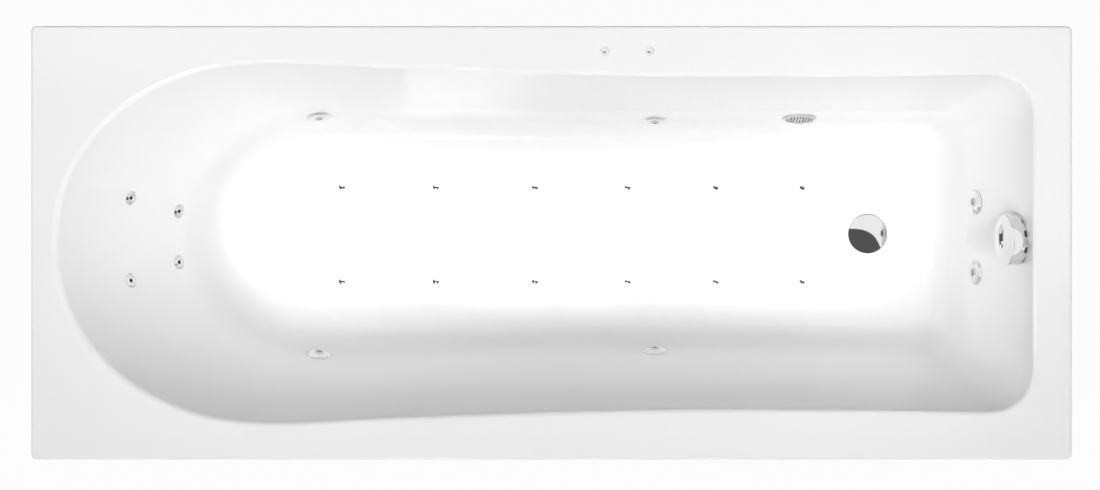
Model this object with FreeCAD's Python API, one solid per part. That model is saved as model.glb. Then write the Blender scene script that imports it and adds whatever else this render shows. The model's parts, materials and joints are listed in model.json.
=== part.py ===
"""Jetted bathtub: an 1800 x 750 mm drop-in acrylic bath with water jets, air jets, pump, blower, waste and frame.

Units are millimetres. The origin is on the floor under the middle of the rim, +X runs towards the foot end with
the waste, +Y towards the long side with the air buttons, and +Z up. Depths are measured down from the rim's top.
"""

import FreeCAD, Part
import math
import os
from FreeCAD import Placement, Rotation, Vector

# ---------------------------------------------------------------- driving dimensions

# Rim and shell
RIM_LENGTH = 1800.0
RIM_WIDTH = 750.0
RIM_HEIGHT = 600.0
RIM_CORNER = 9.0
RIM_EDGE_ROUND = 4.0
RIM_INNER_ROLL = 8.0
LIP_OVERSHOOT = 0.25  # the roll's hollow ends this far above the rim, so that it cuts through it cleanly
SKIRT_DEPTH = 40.0
SHELL_WALL = 7.0  # acrylic with its glass-fibre backing
HEAD_DECK = 41.0
FOOT_DECK = 66.5
SIDE_DECK = 63.0

# Basin, as insets from the opening at four depths
SHOULDER_DEPTH = 300.0
TOE_DEPTH = 375.0
BASIN_DEPTH = 430.0
SHOULDER_BLEND = 25.0
HEAD_INSETS = (0.0, 179.0, 211.0, 323.0)
SIDE_INSETS = (0.0, 71.0, 90.0, 132.0)
FOOT_INSETS = (0.0, 65.5, 84.5, 122.0)
HEAD_ROUND_LENGTHS = (369.0, 281.0, 262.0, 219.0)
WAIST_DRAWS = (24.0, 11.0, 10.0, 5.0)
FOOT_CORNERS = (70.0, 58.0, 52.0, 35.0)
FOOT_FLARE = 3.7  # how far the opening widens again from its waist to the foot end
WAIST_FROM_FOOT = 583.0
HEAD_FULLNESS = 2.08  # superellipse exponent of the rounded head end
WAIST_CURVE = 1.5
FOOT_WALL_CURVE = 1.5
SECTION_STEP = 27.0  # between the outlines that the walls run through

# Clearances
HOLE_CLEARANCE = 0.5
RUNNING_CLEARANCE = 0.05
SOCKET_CLEARANCE = 0.1
PIECE_GAP = 0.3

# Water jets
JET_FACE_RADIUS = 22.5
JET_FACE_HEIGHT = 6.0
JET_GASKET_RADIUS = 20.5
JET_GASKET_HEIGHT = 1.5
JET_FLANGE_HEIGHT = 1.5
JET_BARREL_RADIUS = 16.5
JET_BARREL_LENGTH = 34.0
JET_BALL_RADIUS = 12.0
JET_BALL_CENTRE = -2.0  # along the jet's axis, from the wall
JET_BALL_FRONT = 9.5  # from the ball's centre to its flat front
JET_MOUTH_RADIUS = 9.0
JET_BORE_RADIUS = 5.5
JET_CHANNEL_RADIUS = 9.0
JET_NUT_FLATS = 46.0
JET_NUT_HEIGHT = 8.0
SEAT_DEPTH = 0.4
PAD_HEIGHT = 1.5  # glass-fibre pad that gives each fitting's nut a flat seat
PAD_MARGIN = 3.0
SIDE_JETS_FROM_CENTRE = (-436.0, 194.0)
SIDE_JET_DEPTH = 355.0
FOOT_JET_SPREAD = 65.0
FOOT_JET_DEPTH = 262.0

# Back jets
BACK_JET_RADIUS = 13.0
BACK_JET_HEIGHT = 3.5
BACK_JET_BORE = 3.0
BACK_JET_BARREL = 7.0
BACK_JET_LENGTH = 26.0
BACK_JET_NUT_FLATS = 24.0
BACK_JET_NUT_HEIGHT = 6.0
BACK_JETS = ((74.0, 158.0), (47.0, 281.0))  # sideways and depth of each pair
MICRO_HOSE_RADIUS = 5.0

# Air jets in the floor
AIR_JETS_X = (-399.0, -220.0, -31.0, 146.0, 314.0, 479.0)
AIR_JET_SPREAD = 90.0
AIR_CAP_RADIUS = 6.2
AIR_CAP_HEIGHT = 2.0
AIR_STEM_RADIUS = 2.5
AIR_BODY_RADIUS = 4.6
AIR_NUT_RADIUS = 9.0
AIR_NUT_HEIGHT = 5.0
AIR_TUBE_RADIUS = 8.0
AIR_TUBE_WALL = 1.5
AIR_TUBE_HEIGHT = 99.0  # of its axis above the floor

# Suction
SUCTION_FROM_CENTRE = 464.0
SUCTION_DEPTH = 345.0
SUCTION_RADIUS = 31.0
SUCTION_COVER_HEIGHT = 7.0
SUCTION_SLOT_WIDTH = 2.6
SUCTION_SLOT_PITCH = 5.6
SUCTION_SLOTS = 9
SUCTION_CUP_RADIUS = 24.0
SUCTION_CUP_LENGTH = 56.0
SUCTION_NUT_FLATS = 62.0

# Waste
WASTE_FROM_FOOT = 298.0
WASTE_CAP_RADIUS = 37.5
WASTE_CAP_EDGE = 2.5
WASTE_CAP_CROWN = 4.0
WASTE_LIFT = 10.0
WASTE_RECESS_RADIUS = 40.0
WASTE_RECESS_DEPTH = 2.5
WASTE_FLANGE_RADIUS = 35.0
WASTE_FLANGE_HEIGHT = 2.5
WASTE_TAIL_RADIUS = 24.0
WASTE_BORE_RADIUS = 21.0
WASTE_TAIL_LENGTH = 34.0
WASTE_SEAL_RADIUS = 27.0
WASTE_SEAL_HEIGHT = 2.0
WASTE_STEM_RADIUS = 4.0
WASTE_BODY_RADIUS = 34.0
WASTE_BODY_BOTTOM = 100.0
WASTE_BODY_WALL = 3.5
TRAP_RADIUS = 44.0
TRAP_BOTTOM = 34.0
TRAP_WALL = 3.0
TRAP_CAP_HEIGHT = 14.0
OUTLET_RADIUS = 20.0
OUTLET_WALL = 2.0
OUTLET_REACH = 230.0
OUTLET_ROOT = 52.0  # up to where a socket can be pushed on, with the pipe relieved beyond
OUTLET_RELIEF = 0.6
TRAP_NUT_FLATS = 58.0
TRAP_NUT_HEIGHT = 10.0

# Overflow
OVERFLOW_DEPTH = 75.0
KNOB_RADIUS = 46.0
KNOB_FLAT = 40.0
KNOB_THICKNESS = 22.0
KNOB_CROWN = 3.0
KNOB_TURN = 90.0  # degrees
ROSE_RADIUS = 38.0
ROSE_HEIGHT = 9.0
ROSE_WALL = 3.0
ROSE_WINDOWS = 8
SPINDLE_RADIUS = 6.0
OVERFLOW_HOLE_RADIUS = 26.0
OVERFLOW_BODY_RADIUS = 32.0
OVERFLOW_BODY_LENGTH = 44.0
OVERFLOW_BODY_WALL = 3.0
HOSE_RADIUS = 16.0
HOSE_WALL = 2.5
HOSE_HEIGHT = 121.0  # of the hose's low run above the floor
CABLE_RADIUS = 3.0
CABLE_OFFSET = 24.0

# Air buttons
BUTTONS_FROM_CENTRE = (92.0, 169.0)
BUTTON_FROM_EDGE = 44.0
BUTTON_BEZEL_RADIUS = 8.3
BUTTON_BEZEL_HEIGHT = 2.4
BUTTON_CAP_RADIUS = 5.9
BUTTON_CAP_STANDS = 2.6
BUTTON_TRAVEL = 3.0
BUTTON_BODY_RADIUS = 7.4
BUTTON_BODY_LENGTH = 40.0
BUTTON_SPRING_RADIUS = 4.6
BUTTON_SPRING_WIRE = 0.8
BUTTON_NUT_FLATS = 22.0
BUTTON_NUT_HEIGHT = 5.0
AIR_LINE_RADIUS = 3.0

# Base board, battens and frame
BOARD_THICKNESS = 18.0
BOARD_MARGIN = 14.0
BATTEN_WIDTH = 30.0
BATTEN_HEIGHT = 20.0
TUBE_SIDE = 30.0
TUBE_WALL = 2.0
CROSS_RAILS_X = (-480.0, 0.0, 400.0)
POST_SPREAD = 347.0
LONG_RAIL_SPREAD = 120.0
LONG_RAIL_ENDS = (-882.0, 540.0)
STUD_RADIUS = 6.0
STUD_SPREAD = 250.0
HEAD_STUD_X = -862.0
LOCK_NUT_FLATS = 19.0
LOCK_NUT_HEIGHT = 8.0
FOOT_PAD_RADIUS = 30.0
FOOT_PAD_HEIGHT = 10.0
FOOT_HUB_RADIUS = 11.0
FOOT_HUB_HEIGHT = 14.0
STUD_SEAT = 6.0  # above the floor
STUD_STANDS_OUT = 2.0  # of its upper nut
SHELF_THICKNESS = 3.0
SHELF_FROM_HEAD = (15.0, 200.0)
SHELF_HALF_WIDTH = 335.0
SHELF_FOLD = 18.0

# Pump
PUMP_FROM_HEAD = 105.0
PUMP_AXIS_HEIGHT = 205.0
VOLUTE_RADIUS = 72.0
VOLUTE_LENGTH = 56.0
VOLUTE_WALL = 6.0
BACK_PLATE_THICKNESS = 8.0
MOTOR_RADIUS = 58.0
MOTOR_LENGTH = 150.0
MOTOR_FINS = 18
MOTOR_FIN_HEIGHT = 6.0
MOTOR_FIN_WIDTH = 3.0
FAN_COVER_LENGTH = 34.0
FAN_COVER_WALL = 2.5
FAN_COVER_SLOTS = 12
SHAFT_RADIUS = 7.0
IMPELLER_RADIUS = 48.0
IMPELLER_DISC = 4.0
IMPELLER_VANE_HEIGHT = 12.0
IMPELLER_VANES = 5
FAN_RADIUS = 50.0
FAN_BLADES = 6
FAN_WIDTH = 14.0
UNION_FLATS = 66.0
UNION_HEIGHT = 18.0
PUMP_FOOT_HALF_WIDTH = 60.0
TERMINAL_BOX = (80.0, 60.0, 34.0)

# Pipes
MAIN_RADIUS = 16.0
SUCTION_PIPE_RADIUS = 25.0
MAIN_FROM_CENTRE = 292.0
TEE_RADIUS = 20.0
TEE_HALF_LENGTH = 34.0
HEAD_LOOP_HEIGHT = 330.0
SUCTION_RUN_HEIGHT = 178.0  # of its long run, under the water main
PIPE_BEND = 60.0
LARGEST_BEND_SHARE = 0.48  # of the shorter run beside a bend

# Blower and control box
BLOWER_RADIUS = 58.0
BLOWER_HEIGHT = 96.0
BLOWER_Y = -252.0
BLOWER_RIB_STEP = 14.0
BOX_SIZE = (86.0, 150.0, 40.0)
BOX_Y = 245.0
BOX_LID_THICKNESS = 4.0
GLAND_RADIUS = 8.0
GLAND_LENGTH = 16.0
SUPPLY_BORE_RADIUS = 4.5

# ---------------------------------------------------------------- small helpers

UP = Vector(0, 0, 1)
X_AXIS = Vector(1, 0, 0)
Y_AXIS = Vector(0, 1, 0)
ORIGIN = Vector(0, 0, 0)


def save(name, *pieces):
    """One STEP file for a sub-part, with each of its pieces as a separate solid."""
    solids = [solid for piece in pieces for solid in piece.Solids]
    for solid in solids:
        if not solid.isValid():
            print("not valid:", name)
    shape = solids[0] if len(solids) == 1 else Part.makeCompound(solids)
    shape.exportStep("parts/" + name + ".step")
    return shape


def placed(shape, point, axis):
    """A shape modelled along +Z at the origin, moved so that it stands on point along axis."""
    copy = shape.copy()
    copy.Placement = Placement(point, Rotation(UP, axis))
    return copy


def cylinder(radius, length, point=ORIGIN, axis=UP):
    return Part.makeCylinder(radius, length, point, axis)


def ring(outer, inner, length, point=ORIGIN, axis=UP):
    return cylinder(outer, length, point, axis).cut(cylinder(inner, length, point, axis))


def block(x_range, y_range, z_range):
    size = [high - low for low, high in (x_range, y_range, z_range)]
    return Part.makeBox(*size, Vector(x_range[0], y_range[0], z_range[0]))


def lathe(points):
    """A closed outline of (radius, height) points turned about the Z axis."""
    corners = [Vector(radius, 0, height) for radius, height in points]
    face = Part.Face(Part.makePolygon(corners + corners[:1]))
    return face.revolve(ORIGIN, UP, 360)


def domed_disc(radius, edge, crown):
    """A disc with a straight edge and a spherical crown above it."""
    sphere_radius = (radius**2 + crown**2) / (2 * crown)
    rim = Vector(radius, 0, edge)
    top = Vector(0, 0, edge + crown)
    half_angle = math.asin(radius / sphere_radius) / 2
    middle = Vector(
        sphere_radius * math.sin(half_angle), 0, edge + crown - sphere_radius * (1 - math.cos(half_angle))
    )
    outline = Part.Wire(
        [
            Part.LineSegment(ORIGIN, Vector(radius, 0, 0)).toShape(),
            Part.LineSegment(Vector(radius, 0, 0), rim).toShape(),
            Part.Arc(rim, middle, top).toShape(),
            Part.LineSegment(top, ORIGIN).toShape(),
        ]
    )
    return Part.Face(outline).revolve(ORIGIN, UP, 360)


def hexagon(flats, height, hole):
    """A plain hexagon nut standing on z = 0."""
    corner = flats / math.sqrt(3)
    points = [
        Vector(corner * math.cos(turn * math.pi / 3), corner * math.sin(turn * math.pi / 3), 0)
        for turn in range(6)
    ]
    prism = Part.Face(Part.makePolygon(points + points[:1])).extrude(Vector(0, 0, height))
    return prism.cut(cylinder(hole, height))


def square_tube(start, end):
    """A hollow square tube of the frame's stock between two points on its axis."""
    axis = end - start
    outer = TUBE_SIDE / 2
    inner = outer - TUBE_WALL
    solid = block((-outer, outer), (-outer, outer), (0, axis.Length))
    hollow = block((-inner, inner), (-inner, inner), (0, axis.Length))
    return placed(solid.cut(hollow), start, axis)


def pipe(points, radius, bend):
    """A round pipe, solid across: straight runs joined by tangent bends."""
    runs = []
    start = points[0]
    for before, corner, after in zip(points, points[1:], points[2:]):
        arriving = (corner - before).normalize()
        leaving = (after - corner).normalize()
        turn = arriving.getAngle(leaving)
        shorter = min((corner - before).Length, (after - corner).Length)
        bend_radius = min(bend, LARGEST_BEND_SHARE * shorter / math.tan(turn / 2))
        cut_back = bend_radius * math.tan(turn / 2)
        into = corner - arriving * cut_back
        axis = arriving.cross(leaving).normalize()
        centre = into + axis.cross(arriving) * bend_radius
        section = Part.Face(Part.Wire(Part.makeCircle(radius, into, arriving)))
        runs.append(cylinder(radius, (into - start).Length, start, arriving))
        runs.append(section.revolve(centre, axis, math.degrees(turn)))
        start = corner + leaving * cut_back
    last = points[-1] - start
    runs.append(cylinder(radius, last.Length, start, last))
    return runs[0].fuse(runs[1:])


def hollow_pipe(points, radius, wall, bend):
    return pipe(points, radius, bend).cut(pipe(points, radius - wall, bend))


# ---------------------------------------------------------------- basin

HEAD_END = -RIM_LENGTH / 2 + HEAD_DECK
FOOT_END = RIM_LENGTH / 2 - FOOT_DECK
HALF_WIDTH = RIM_WIDTH / 2 - SIDE_DECK
FLOOR_Z = RIM_HEIGHT - BASIN_DEPTH
LEVEL_DEPTHS = (0.0, SHOULDER_DEPTH, TOE_DEPTH, BASIN_DEPTH)
RIM, SHOULDER, TOE, FLOOR = range(4)


def level(number):
    """The six sizes of the basin's outline at one of its four depths."""
    return (
        HEAD_END + HEAD_INSETS[number],
        HALF_WIDTH - SIDE_INSETS[number],
        FOOT_END - FOOT_INSETS[number],
        HEAD_ROUND_LENGTHS[number],
        WAIST_DRAWS[number],
        FOOT_CORNERS[number],
    )


def between(first, second, share):
    return tuple(a + (b - a) * share for a, b in zip(first, second))


def upper_wall(depth):
    share = depth / SHOULDER_DEPTH
    sizes = list(between(level(RIM), level(SHOULDER), share))
    sizes[2] = FOOT_END - FOOT_INSETS[SHOULDER] * max(share, 0) ** FOOT_WALL_CURVE
    return tuple(sizes)


def lower_wall(depth):
    share = (depth - SHOULDER_DEPTH) / (TOE_DEPTH - SHOULDER_DEPTH)
    return between(level(SHOULDER), level(TOE), share)


def wall_sizes(depth):
    """The basin's sizes at a depth above the toe, where the wall starts to curve into the floor."""
    share = (depth - SHOULDER_DEPTH + SHOULDER_BLEND) / (2 * SHOULDER_BLEND)
    share = min(max(share, 0), 1)
    return between(upper_wall(depth), lower_wall(depth), share * share * (3 - 2 * share))


def toe_sizes(share, floor_depth):
    """Sizes and depth along the curve from the wall to the floor, tangent to both."""
    toe, floor = level(TOE), level(FLOOR)
    corner = lower_wall(BASIN_DEPTH)
    weights = ((1 - share) ** 2, 2 * share * (1 - share), share**2)
    sizes = tuple(sum(w * v for w, v in zip(weights, values)) for values in zip(toe, corner, floor))
    depth = weights[0] * TOE_DEPTH + (weights[1] + weights[2]) * floor_depth
    return sizes, depth


def grown(sizes, wall):
    """The outline's sizes one wall thickness further out."""
    head, width, foot, head_round, draw, corner = sizes
    head_slope = HEAD_INSETS[SHOULDER] / SHOULDER_DEPTH
    head_wall = wall * math.hypot(1, head_slope)
    side_wall = wall * math.hypot(1, SIDE_INSETS[SHOULDER] / SHOULDER_DEPTH)
    return head - head_wall, width + side_wall, foot + side_wall, head_round + head_wall, draw, corner + wall


def side_half_width(sizes, x):
    """Half the basin's width at x, anywhere between its two ends."""
    head, width, foot, head_round, draw, corner = sizes
    waist_x = FOOT_END - WAIST_FROM_FOOT
    join_x, join_y = side_join(sizes)
    if x < join_x:
        share = min(abs(x - head - head_round) / head_round, 1)
        return width * (1 - share**HEAD_FULLNESS) ** (1 / HEAD_FULLNESS)
    if x < waist_x:
        share = (x - join_x) / (waist_x - join_x)
        return width - draw + (join_y - width + draw) * (1 - share) ** WAIST_CURVE
    flare = FOOT_FLARE * draw / WAIST_DRAWS[RIM]
    share = (x - waist_x) / (foot - corner - waist_x)
    return width - draw + flare * share * share


def side_join(sizes):
    """Where the rounded head end passes into the side, with the same slope."""
    head, width, foot, head_round, draw, corner = sizes
    centre = head + head_round
    slope = WAIST_CURVE * draw / (FOOT_END - WAIST_FROM_FOOT - centre)
    beyond = slope * head_round**2 / width
    y = width * (1 - (beyond / head_round) ** HEAD_FULLNESS) ** (1 / HEAD_FULLNESS)
    return centre + beyond, y


def outline_points(sizes, depth):
    """Points round the basin's outline at a depth, starting at the foot end."""
    head, width, foot, head_round, draw, corner = sizes
    waist_x = FOOT_END - WAIST_FROM_FOOT
    join_x = side_join(sizes)[0]
    corner_x = foot - corner
    corner_y = side_half_width(sizes, corner_x) - corner
    half = [(foot, corner_y * share) for share in (0.0, 0.45, 0.85)]
    for step in range(5):
        angle = step * math.pi / 8
        half.append((corner_x + corner * math.cos(angle), corner_y + corner * math.sin(angle)))
    for start, end, steps in ((corner_x, waist_x, 4), (waist_x, join_x, 6)):
        for step in range(1, steps + 1):
            x = start + (end - start) * step / steps
            half.append((x, side_half_width(sizes, x)))
    for step in range(1, 8):
        angle = step * math.pi / 16
        x = head + head_round * (1 - math.sin(angle) ** (2 / HEAD_FULLNESS))
        half.append((x, width * math.cos(angle) ** (2 / HEAD_FULLNESS)))
    half.append((head, 0.0))
    other = [(x, -y) for x, y in reversed(half[1:-1])]
    return [Vector(x, y, RIM_HEIGHT - depth) for x, y in half + other]


def outline_knots():
    """How far along the shoulder's outline each point lies; every outline shares these, so the walls stay simple."""
    points = outline_points(level(SHOULDER), SHOULDER_DEPTH)
    knots = [0.0]
    for point, after in zip(points, points[1:] + points[:1]):
        knots.append(knots[-1] + math.sqrt((after - point).Length))
    return [knot / knots[-1] for knot in knots]


OUTLINE_KNOTS = outline_knots()


def outline(sizes, depth):
    """The basin's outline at a depth, as one closed smooth curve."""
    curve = Part.BSplineCurve()
    curve.interpolate(Points=outline_points(sizes, depth), PeriodicFlag=True, Parameters=OUTLINE_KNOTS)
    return Part.Wire(curve.toShape())


def basin_solid(wall, top_depth):
    """The basin's hollow as a solid, or its outside when wall is the shell's thickness."""
    straight = SHOULDER_DEPTH - SHOULDER_BLEND
    steps = round((straight - top_depth) / SECTION_STEP)
    depths = [top_depth + (straight - top_depth) * step / steps for step in range(steps)]
    depths += [SHOULDER_DEPTH + SHOULDER_BLEND * step for step in (-1, 0, 1)]
    depths.append((SHOULDER_DEPTH + SHOULDER_BLEND + TOE_DEPTH) / 2)
    sections = [(grown(wall_sizes(depth), wall), depth) for depth in depths]
    for step in range(6):
        sizes, depth = toe_sizes(step / 5, BASIN_DEPTH + wall)
        sections.append((grown(sizes, wall), depth))
    return Part.makeLoft([outline(sizes, depth) for sizes, depth in sections], True, False)


def lip_solid():
    """The hollow above the wall, rolled over the opening's edge until it is almost level with the rim."""
    wall, edge = wall_sizes(RIM_INNER_ROLL), wall_sizes(0.0)
    over = grown(edge, RIM_INNER_ROLL)
    sections = []
    for step in range(6):
        share = step / 5
        weights = ((1 - share) ** 2, 2 * share * (1 - share), share**2)
        sizes = tuple(sum(w * v for w, v in zip(weights, values)) for values in zip(wall, edge, over))
        sections.append(outline(sizes, weights[0] * RIM_INNER_ROLL - weights[2] * LIP_OVERSHOOT))
    return Part.makeLoft(sections, True, False)


# ---------------------------------------------------------------- seats for the fittings

STEP = 0.5  # for the slopes of the wall


def side_seat(x, depth, side):
    """A point on a long wall and the direction from it into the basin."""
    y = side_half_width(wall_sizes(depth), x)
    along = (side_half_width(wall_sizes(depth), x + STEP) - side_half_width(wall_sizes(depth), x - STEP)) / (
        2 * STEP
    )
    down = (side_half_width(wall_sizes(depth + STEP), x) - side_half_width(wall_sizes(depth - STEP), x)) / (
        2 * STEP
    )
    return Vector(x, side * y, RIM_HEIGHT - depth), Vector(along, -side, -down).normalize()


def head_wall_x(y, depth):
    head, width, foot, head_round, draw, corner = wall_sizes(depth)
    return head + head_round * (1 - (1 - (abs(y) / width) ** HEAD_FULLNESS) ** (1 / HEAD_FULLNESS))


def head_seat(y, depth):
    """A point on the backrest and the direction from it into the basin."""
    sideways = (head_wall_x(y + STEP, depth) - head_wall_x(y - STEP, depth)) / (2 * STEP)
    down = (head_wall_x(y, depth + STEP) - head_wall_x(y, depth - STEP)) / (2 * STEP)
    return Vector(head_wall_x(y, depth), y, RIM_HEIGHT - depth), Vector(1, -sideways, down).normalize()


def foot_seat(y, depth):
    """A point on the foot wall and the direction from it into the basin."""
    down = (wall_sizes(depth + STEP)[2] - wall_sizes(depth - STEP)[2]) / (2 * STEP)
    return Vector(wall_sizes(depth)[2], y, RIM_HEIGHT - depth), Vector(-1, 0, -down).normalize()


def sunk(seat):
    """The same seat on the flat that is cut a little way into the wall."""
    point, inward = seat
    return point - inward * SEAT_DEPTH, inward


JET_SEATS = {
    "head_side_jet_left": sunk(side_seat(SIDE_JETS_FROM_CENTRE[0], SIDE_JET_DEPTH, 1)),
    "head_side_jet_right": sunk(side_seat(SIDE_JETS_FROM_CENTRE[0], SIDE_JET_DEPTH, -1)),
    "foot_side_jet_left": sunk(side_seat(SIDE_JETS_FROM_CENTRE[1], SIDE_JET_DEPTH, 1)),
    "foot_side_jet_right": sunk(side_seat(SIDE_JETS_FROM_CENTRE[1], SIDE_JET_DEPTH, -1)),
    "end_jet_left": sunk(foot_seat(FOOT_JET_SPREAD, FOOT_JET_DEPTH)),
    "end_jet_right": sunk(foot_seat(-FOOT_JET_SPREAD, FOOT_JET_DEPTH)),
}
BACK_SEATS = [sunk(head_seat(side * spread, depth)) for spread, depth in BACK_JETS for side in (1, -1)]
SUCTION_SEAT = sunk(side_seat(SUCTION_FROM_CENTRE, SUCTION_DEPTH, 1))
OVERFLOW_SEAT = sunk(foot_seat(0.0, OVERFLOW_DEPTH))
AIR_SEATS = [Vector(x, side * AIR_JET_SPREAD, FLOOR_Z) for x in AIR_JETS_X for side in (1, -1)]
WASTE_POINT = Vector(FOOT_END + FOOT_DECK - WASTE_FROM_FOOT, 0, FLOOR_Z)
BUTTON_POINTS = [Vector(x, RIM_WIDTH / 2 - BUTTON_FROM_EDGE, RIM_HEIGHT) for x in BUTTONS_FROM_CENTRE]
PAD_FACE = SHELL_WALL + PAD_HEIGHT - SEAT_DEPTH  # from a fitting's seat to the pad's outer face


# ---------------------------------------------------------------- shell


def fitting_seats():
    """Seat, flange radius, hole radius and pad radius of every fitting in the basin's walls."""
    fittings = [
        (seat, JET_FACE_RADIUS, JET_BARREL_RADIUS, JET_NUT_FLATS / math.sqrt(3)) for seat in JET_SEATS.values()
    ]
    fittings += [
        (seat, BACK_JET_RADIUS, BACK_JET_BARREL, BACK_JET_NUT_FLATS / math.sqrt(3)) for seat in BACK_SEATS
    ]
    fittings.append((SUCTION_SEAT, SUCTION_RADIUS, SUCTION_CUP_RADIUS, SUCTION_NUT_FLATS / math.sqrt(3)))
    fittings.append((OVERFLOW_SEAT, ROSE_RADIUS, OVERFLOW_HOLE_RADIUS, OVERFLOW_BODY_RADIUS))
    return fittings


def bath_shell():
    half_length, half_width = RIM_LENGTH / 2, RIM_WIDTH / 2
    top, skirt_bottom = RIM_HEIGHT, RIM_HEIGHT - SKIRT_DEPTH
    tray = block((-half_length, half_length), (-half_width, half_width), (skirt_bottom, top))
    upright = [e for e in tray.Edges if abs(e.Vertexes[0].Z - e.Vertexes[-1].Z) > SHELL_WALL]
    tray = tray.makeFillet(RIM_CORNER, upright)
    tray = tray.makeFillet(RIM_EDGE_ROUND, [e for e in tray.Edges if e.BoundBox.ZMin > top - 0.01])
    underside = block(
        (SHELL_WALL - half_length, half_length - SHELL_WALL),
        (SHELL_WALL - half_width, half_width - SHELL_WALL),
        (skirt_bottom, top - SHELL_WALL),
    )
    body = tray.cut(underside).fuse(basin_solid(SHELL_WALL, SHELL_WALL / 2))
    for (point, inward), _, _, pad in fitting_seats():
        start = point - inward * PAD_FACE
        body = body.fuse(cylinder(pad + PAD_MARGIN, PAD_HEIGHT + SHELL_WALL / 2, start, inward))
    body = body.cut([basin_solid(0, RIM_INNER_ROLL), lip_solid()])
    tools = []
    for (point, inward), flange, hole, _ in fitting_seats():
        tools.append(cylinder(flange + HOLE_CLEARANCE, 30, point, inward))
        tools.append(cylinder(hole + HOLE_CLEARANCE, 30, point - inward * 20, inward))
    through = SHELL_WALL + BOARD_THICKNESS
    for point in AIR_SEATS:
        tools.append(cylinder(AIR_BODY_RADIUS + HOLE_CLEARANCE, 2 * through, point - UP * through))
    tools.append(cylinder(WASTE_RECESS_RADIUS, through, WASTE_POINT - UP * WASTE_RECESS_DEPTH))
    tools.append(cylinder(WASTE_TAIL_RADIUS + HOLE_CLEARANCE, 2 * through, WASTE_POINT - UP * through))
    for point in BUTTON_POINTS:
        tools.append(cylinder(BUTTON_BODY_RADIUS + HOLE_CLEARANCE, 4 * SHELL_WALL, point - UP * 2 * SHELL_WALL))
    return body.cut(tools)


SHELL_BOTTOM = FLOOR_Z - SHELL_WALL
BOARD_BOTTOM = SHELL_BOTTOM - BOARD_THICKNESS


def base_board():
    """The board that is laminated under the floor."""
    head = HEAD_END + HEAD_INSETS[FLOOR] + BOARD_MARGIN
    foot = FOOT_END - FOOT_INSETS[FLOOR] - BOARD_MARGIN
    half_width = HALF_WIDTH - SIDE_INSETS[FLOOR] - WAIST_DRAWS[FLOOR] - BOARD_MARGIN
    board = block((head, foot), (-half_width, half_width), (BOARD_BOTTOM, SHELL_BOTTOM))
    upright = [e for e in board.Edges if e.BoundBox.ZLength > BOARD_THICKNESS / 2]
    head_edges = [e for e in upright if e.BoundBox.XMax < 0]
    board = board.makeFillet(0.7 * half_width, head_edges)
    upright = [e for e in board.Edges if e.BoundBox.ZLength > BOARD_THICKNESS / 2]
    foot_edges = [e for e in upright if e.BoundBox.XMin > foot - 0.01]
    board = board.makeFillet(FOOT_CORNERS[FLOOR], foot_edges)
    holes = [cylinder(AIR_BODY_RADIUS + HOLE_CLEARANCE, 200, Vector(p.x, p.y, 0)) for p in AIR_SEATS]
    holes.append(cylinder(WASTE_BODY_RADIUS + 10, 200, Vector(WASTE_POINT.x, WASTE_POINT.y, 0)))
    return board.cut(holes)


BATTEN_TOP = RIM_HEIGHT - SHELL_WALL
BATTEN_BOTTOM = BATTEN_TOP - BATTEN_HEIGHT


def rim_battens():
    """Timber battens bonded under the deck along both sides and the foot end."""
    edge = RIM_WIDTH / 2 - SHELL_WALL - 1
    end = RIM_LENGTH / 2 - SHELL_WALL - 1
    heights = (BATTEN_BOTTOM, BATTEN_TOP)
    inner = edge - BATTEN_WIDTH
    left = block((-end, end), (inner, edge), heights)
    for point in BUTTON_POINTS:
        left = left.cut(cylinder(BUTTON_NUT_FLATS / math.sqrt(3) + 1, 60, point - UP * 60))
    right = block((-end, end), (-edge, -inner), heights)
    foot = block((end - BATTEN_WIDTH, end), (-inner, inner), heights)
    foot = foot.cut(block((0, end), (-OVERFLOW_BODY_RADIUS - 6, OVERFLOW_BODY_RADIUS + 6), (0, RIM_HEIGHT)))
    return left, right, foot


# ---------------------------------------------------------------- frame

CROSS_RAIL_Z = BOARD_BOTTOM - TUBE_SIDE / 2
LONG_RAIL_Z = CROSS_RAIL_Z - TUBE_SIDE
LONG_RAIL_TOP = LONG_RAIL_Z + TUBE_SIDE / 2
POST_BOTTOM = CROSS_RAIL_Z + TUBE_SIDE / 2


def studs():
    """Where each levelling stud stands, with the underside and top of the rail that it is locked to."""
    places = []
    for x in CROSS_RAILS_X:
        for side in (-1, 1):
            places.append((x, side * STUD_SPREAD, CROSS_RAIL_Z - TUBE_SIDE / 2, POST_BOTTOM))
    for side in (-1, 1):
        top = LONG_RAIL_TOP + SHELF_THICKNESS
        places.append((HEAD_STUD_X, side * LONG_RAIL_SPREAD, LONG_RAIL_Z - TUBE_SIDE / 2, top))
    return places


def stud_holes():
    return [cylinder(STUD_RADIUS + HOLE_CLEARANCE, RIM_HEIGHT / 2, Vector(x, y, 0)) for x, y, _, _ in studs()]


def frame():
    holes = stud_holes()
    half = POST_SPREAD + TUBE_SIDE / 2
    hoops = []
    for x in CROSS_RAILS_X:
        rail = square_tube(Vector(x, -half, CROSS_RAIL_Z), Vector(x, half, CROSS_RAIL_Z))
        posts = [
            square_tube(Vector(x, side * POST_SPREAD, POST_BOTTOM), Vector(x, side * POST_SPREAD, BATTEN_BOTTOM))
            for side in (-1, 1)
        ]
        hoops.append(rail.fuse(posts).removeSplitter().cut(holes))
    save("frame_hoops", *hoops)
    sides = (-LONG_RAIL_SPREAD, LONG_RAIL_SPREAD)
    start, end = LONG_RAIL_ENDS
    long_rails = [square_tube(Vector(start, y, LONG_RAIL_Z), Vector(end, y, LONG_RAIL_Z)) for y in sides]
    save("frame_long_rails", *[rail.cut(holes) for rail in long_rails])


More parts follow.
